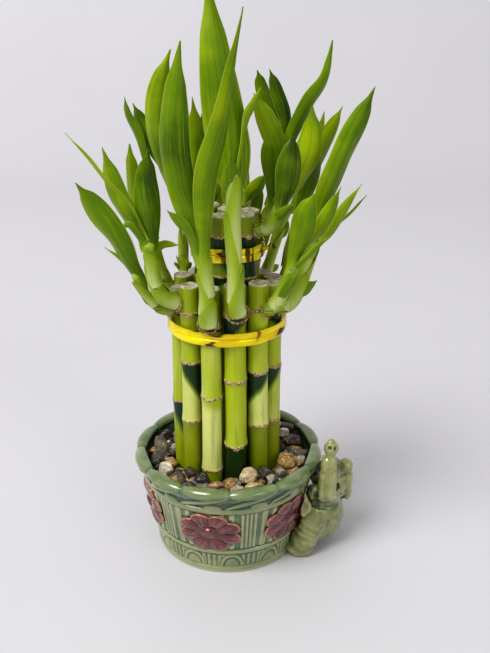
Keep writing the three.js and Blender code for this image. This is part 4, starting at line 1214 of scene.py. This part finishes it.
shoot("left_low", "-29 -8 146, -35 -12 149, -42 -15 158, -47 -17 169", [3.0, 2.6, 2.5, 2.4],
      blade("-42 -15 158, -49 -18 174, -56 -21 191, -65 -22 206, -73 -22 218", 14.5, (-25, -20)),
      blade("-44 -15 161, -52 -15 174, -62 -15 183", 3.5, -40),
      blade("-32 -10 146, -37 -14 150, -44 -17 156", 4.5, -20))
shoot("left_back", "-29 8 152, -33 8 157, -36 6 168, -39 3 184", [2.8, 3.2, 2.8, 2.6],
      blade("-38 4 176, -44 0 196, -47 -4 215, -48 -6 234", 10, -10),
      blade("-38 3 182, -40 2 211, -44 2 235, -49 2 247, -50 0 256", 6, (-50, -40)))
shoot("back_left", "-24 24 152, -25 27 162, -25 28 174, -23 26 189", [3.0, 2.9, 2.8, 2.4],
      blade("-24 27 178, -19 24 204, -16 20 229, -17 16 254", 12, 10),
      blade("-24 28 183, -23 30 202, -24 30 224", 7, 0),
      blade("-25 26 154, -28 24 159, -30 23 163", 3.5, -30),
      blade("-25 26 154, -22 25 159, -21 24 163", 3.5, 30))
shoot("back_centre_left", "-3 30 143, -4 35 154, -5 38 171, -5 39 186", [3.6, 3.0, 2.9, 2.4],
      blade("-5 39 174, -8 42 200, -11 44 227, -8 44 257", 13, 180),
      blade("-4 39 168, 0 45 193, 4 50 215", 10, 170),
      blade("-5 36 159, -9 44 173, -16 52 191", 9, 200))
shoot("back_centre_right", "12 29 144, 13 34 155, 13 36 172, 12 37 186", [3.6, 3.0, 2.9, 2.4],
      blade("12 37 175, 7 38 201, 5 36 229, 4 34 250", 12, 180),
      blade("12 38 168, 15 44 185, 20 48 201", 8, 160),
      blade("13 35 159, 20 42 170, 27 46 184", 8, 150))
shoot("right_back", "20 20 152, 22 24 158, 26 25 172, 30 24 186, 36 22 196", [3.0, 3.0, 2.7, 2.6, 2.4],
      blade("35 22 192, 46 18 216, 53 14 235, 60 12 250", 9, (20, 25)),
      blade("28 25 175, 32 26 180, 34 26 186", 5, 10),
      blade("23 24 157, 26 26 158, 29 27 160", 4, 20))
shoot("right_rear", "27 5 152, 31 8 157, 33 9 167, 35 9 181, 39 8 196", [3.0, 3.0, 2.9, 2.8, 2.4],
      blade("38 8 190, 42 5 208, 45 2 222, 47 1 232", 10, 10),
      blade("38 9 194, 44 9 215, 48 8 234, 50 7 248", 6, 50))
shoot("right_front", "21 -22 152, 26 -26 157, 30 -27 166, 33 -28 177, 36 -28 188", [3.8, 3.8, 3.2, 3.0, 2.6],
      blade("27 -28 156, 31 -31 165, 36 -32 175", 8, 20),
      blade("33 -29 177, 37 -31 192, 39 -32 204, 43 -32 215", 12, 5),
      blade("33 -30 175, 40 -31 182, 50 -31 193", 5, 45),
      blade("35 -27 184, 44 -26 192, 51 -24 203, 57 -22 216", 8, 25))
shoot("right_low", "27 -9 147, 33 -12 151, 38 -14 161, 41 -15 173, 45 -15 187", [3.0, 3.4, 3.6, 3.6, 3.0],
      blade("44 -15 184, 49 -14 205, 57 -12 225, 65 -10 244, 73 -8 262", 14, (20, 15)),
      blade("43 -16 179, 52 -17 190, 60 -17 204, 68 -16 216", 6.5, 40),
      blade("44 -13 181, 54 -11 191, 64 -8 199, 72 -6 208", 4, (70, 60)),
      blade("33 -13 150, 40 -16 159, 47 -17 166", 6, 30))

# %% The shoots of the upper tier
shoot("upper_front", "16 -12 191, 22 -15 194, 25 -17 201, 28 -17 208", [2.8, 3.2, 3.2, 2.6],
      blade("27 -18 203, 30 -20 216, 32 -21 229, 33 -20 241", 12.5, 5, tone=0.75),
      blade("28 -15 205, 36 -12 219, 42 -10 234, 43 -8 253", 14, 10),
      blade("22 -18 195, 28 -21 202, 34 -22 207", 5.5, 20))
shoot("upper_right", "19 4 191, 22 3 197, 24 2 206, 27 1 221", [2.6, 2.8, 2.6, 2.2],
      blade("27 1 215, 33 0 236, 41 -2 253, 49 -3 266, 52 -3 283", 8.5, (15, 45)),
      blade("26 -1 217, 26 -4 231, 20 -8 246, 14 -10 259", 11, (10, 0)),
      blade("27 1 214, 26 7 241, 19 10 258, 16 10 268", 8, 0),
      blade("28 2 219, 31 3 242, 26 4 258, 22 5 269", 7.5, (30, 20), tone=0.9),
      blade("24 1 199, 23 -4 217, 22 -5 231, 24 -4 242", 8.5, 0))
shoot("upper_left", "-17 -1 186, -20 -2 190, -22 -3 198, -24 -4 210", [2.8, 2.8, 2.6, 2.2],
      blade("-24 -4 202, -30 -6 223, -34 -8 244, -32 -8 261, -26 -6 279", 14, (-10, -5)),
      blade("-24 -2 205, -32 2 222, -39 5 234, -44 8 244, -47 8 252", 9, -20))
shoot("upper_back_left", "-8 15 189, -9 18 197, -8 20 207", [2.8, 2.6, 2.0],
      blade("-9 19 195, -6 20 207, -3 20 226, -5 18 247", 10, 0),
      blade("-9 20 199, -8 30 217, -8 35 238", 9, 180))
shoot("upper_back_right", "7 17 190, 9 19 197, 9 21 204", [2.8, 2.6, 2.0],
      blade("9 19 194, 13 19 203, 17 18 208, 21 17 214", 8, (10, 20)),
      blade("9 21 196, 6 26 220, 3 30 246", 10, (170, 180)))
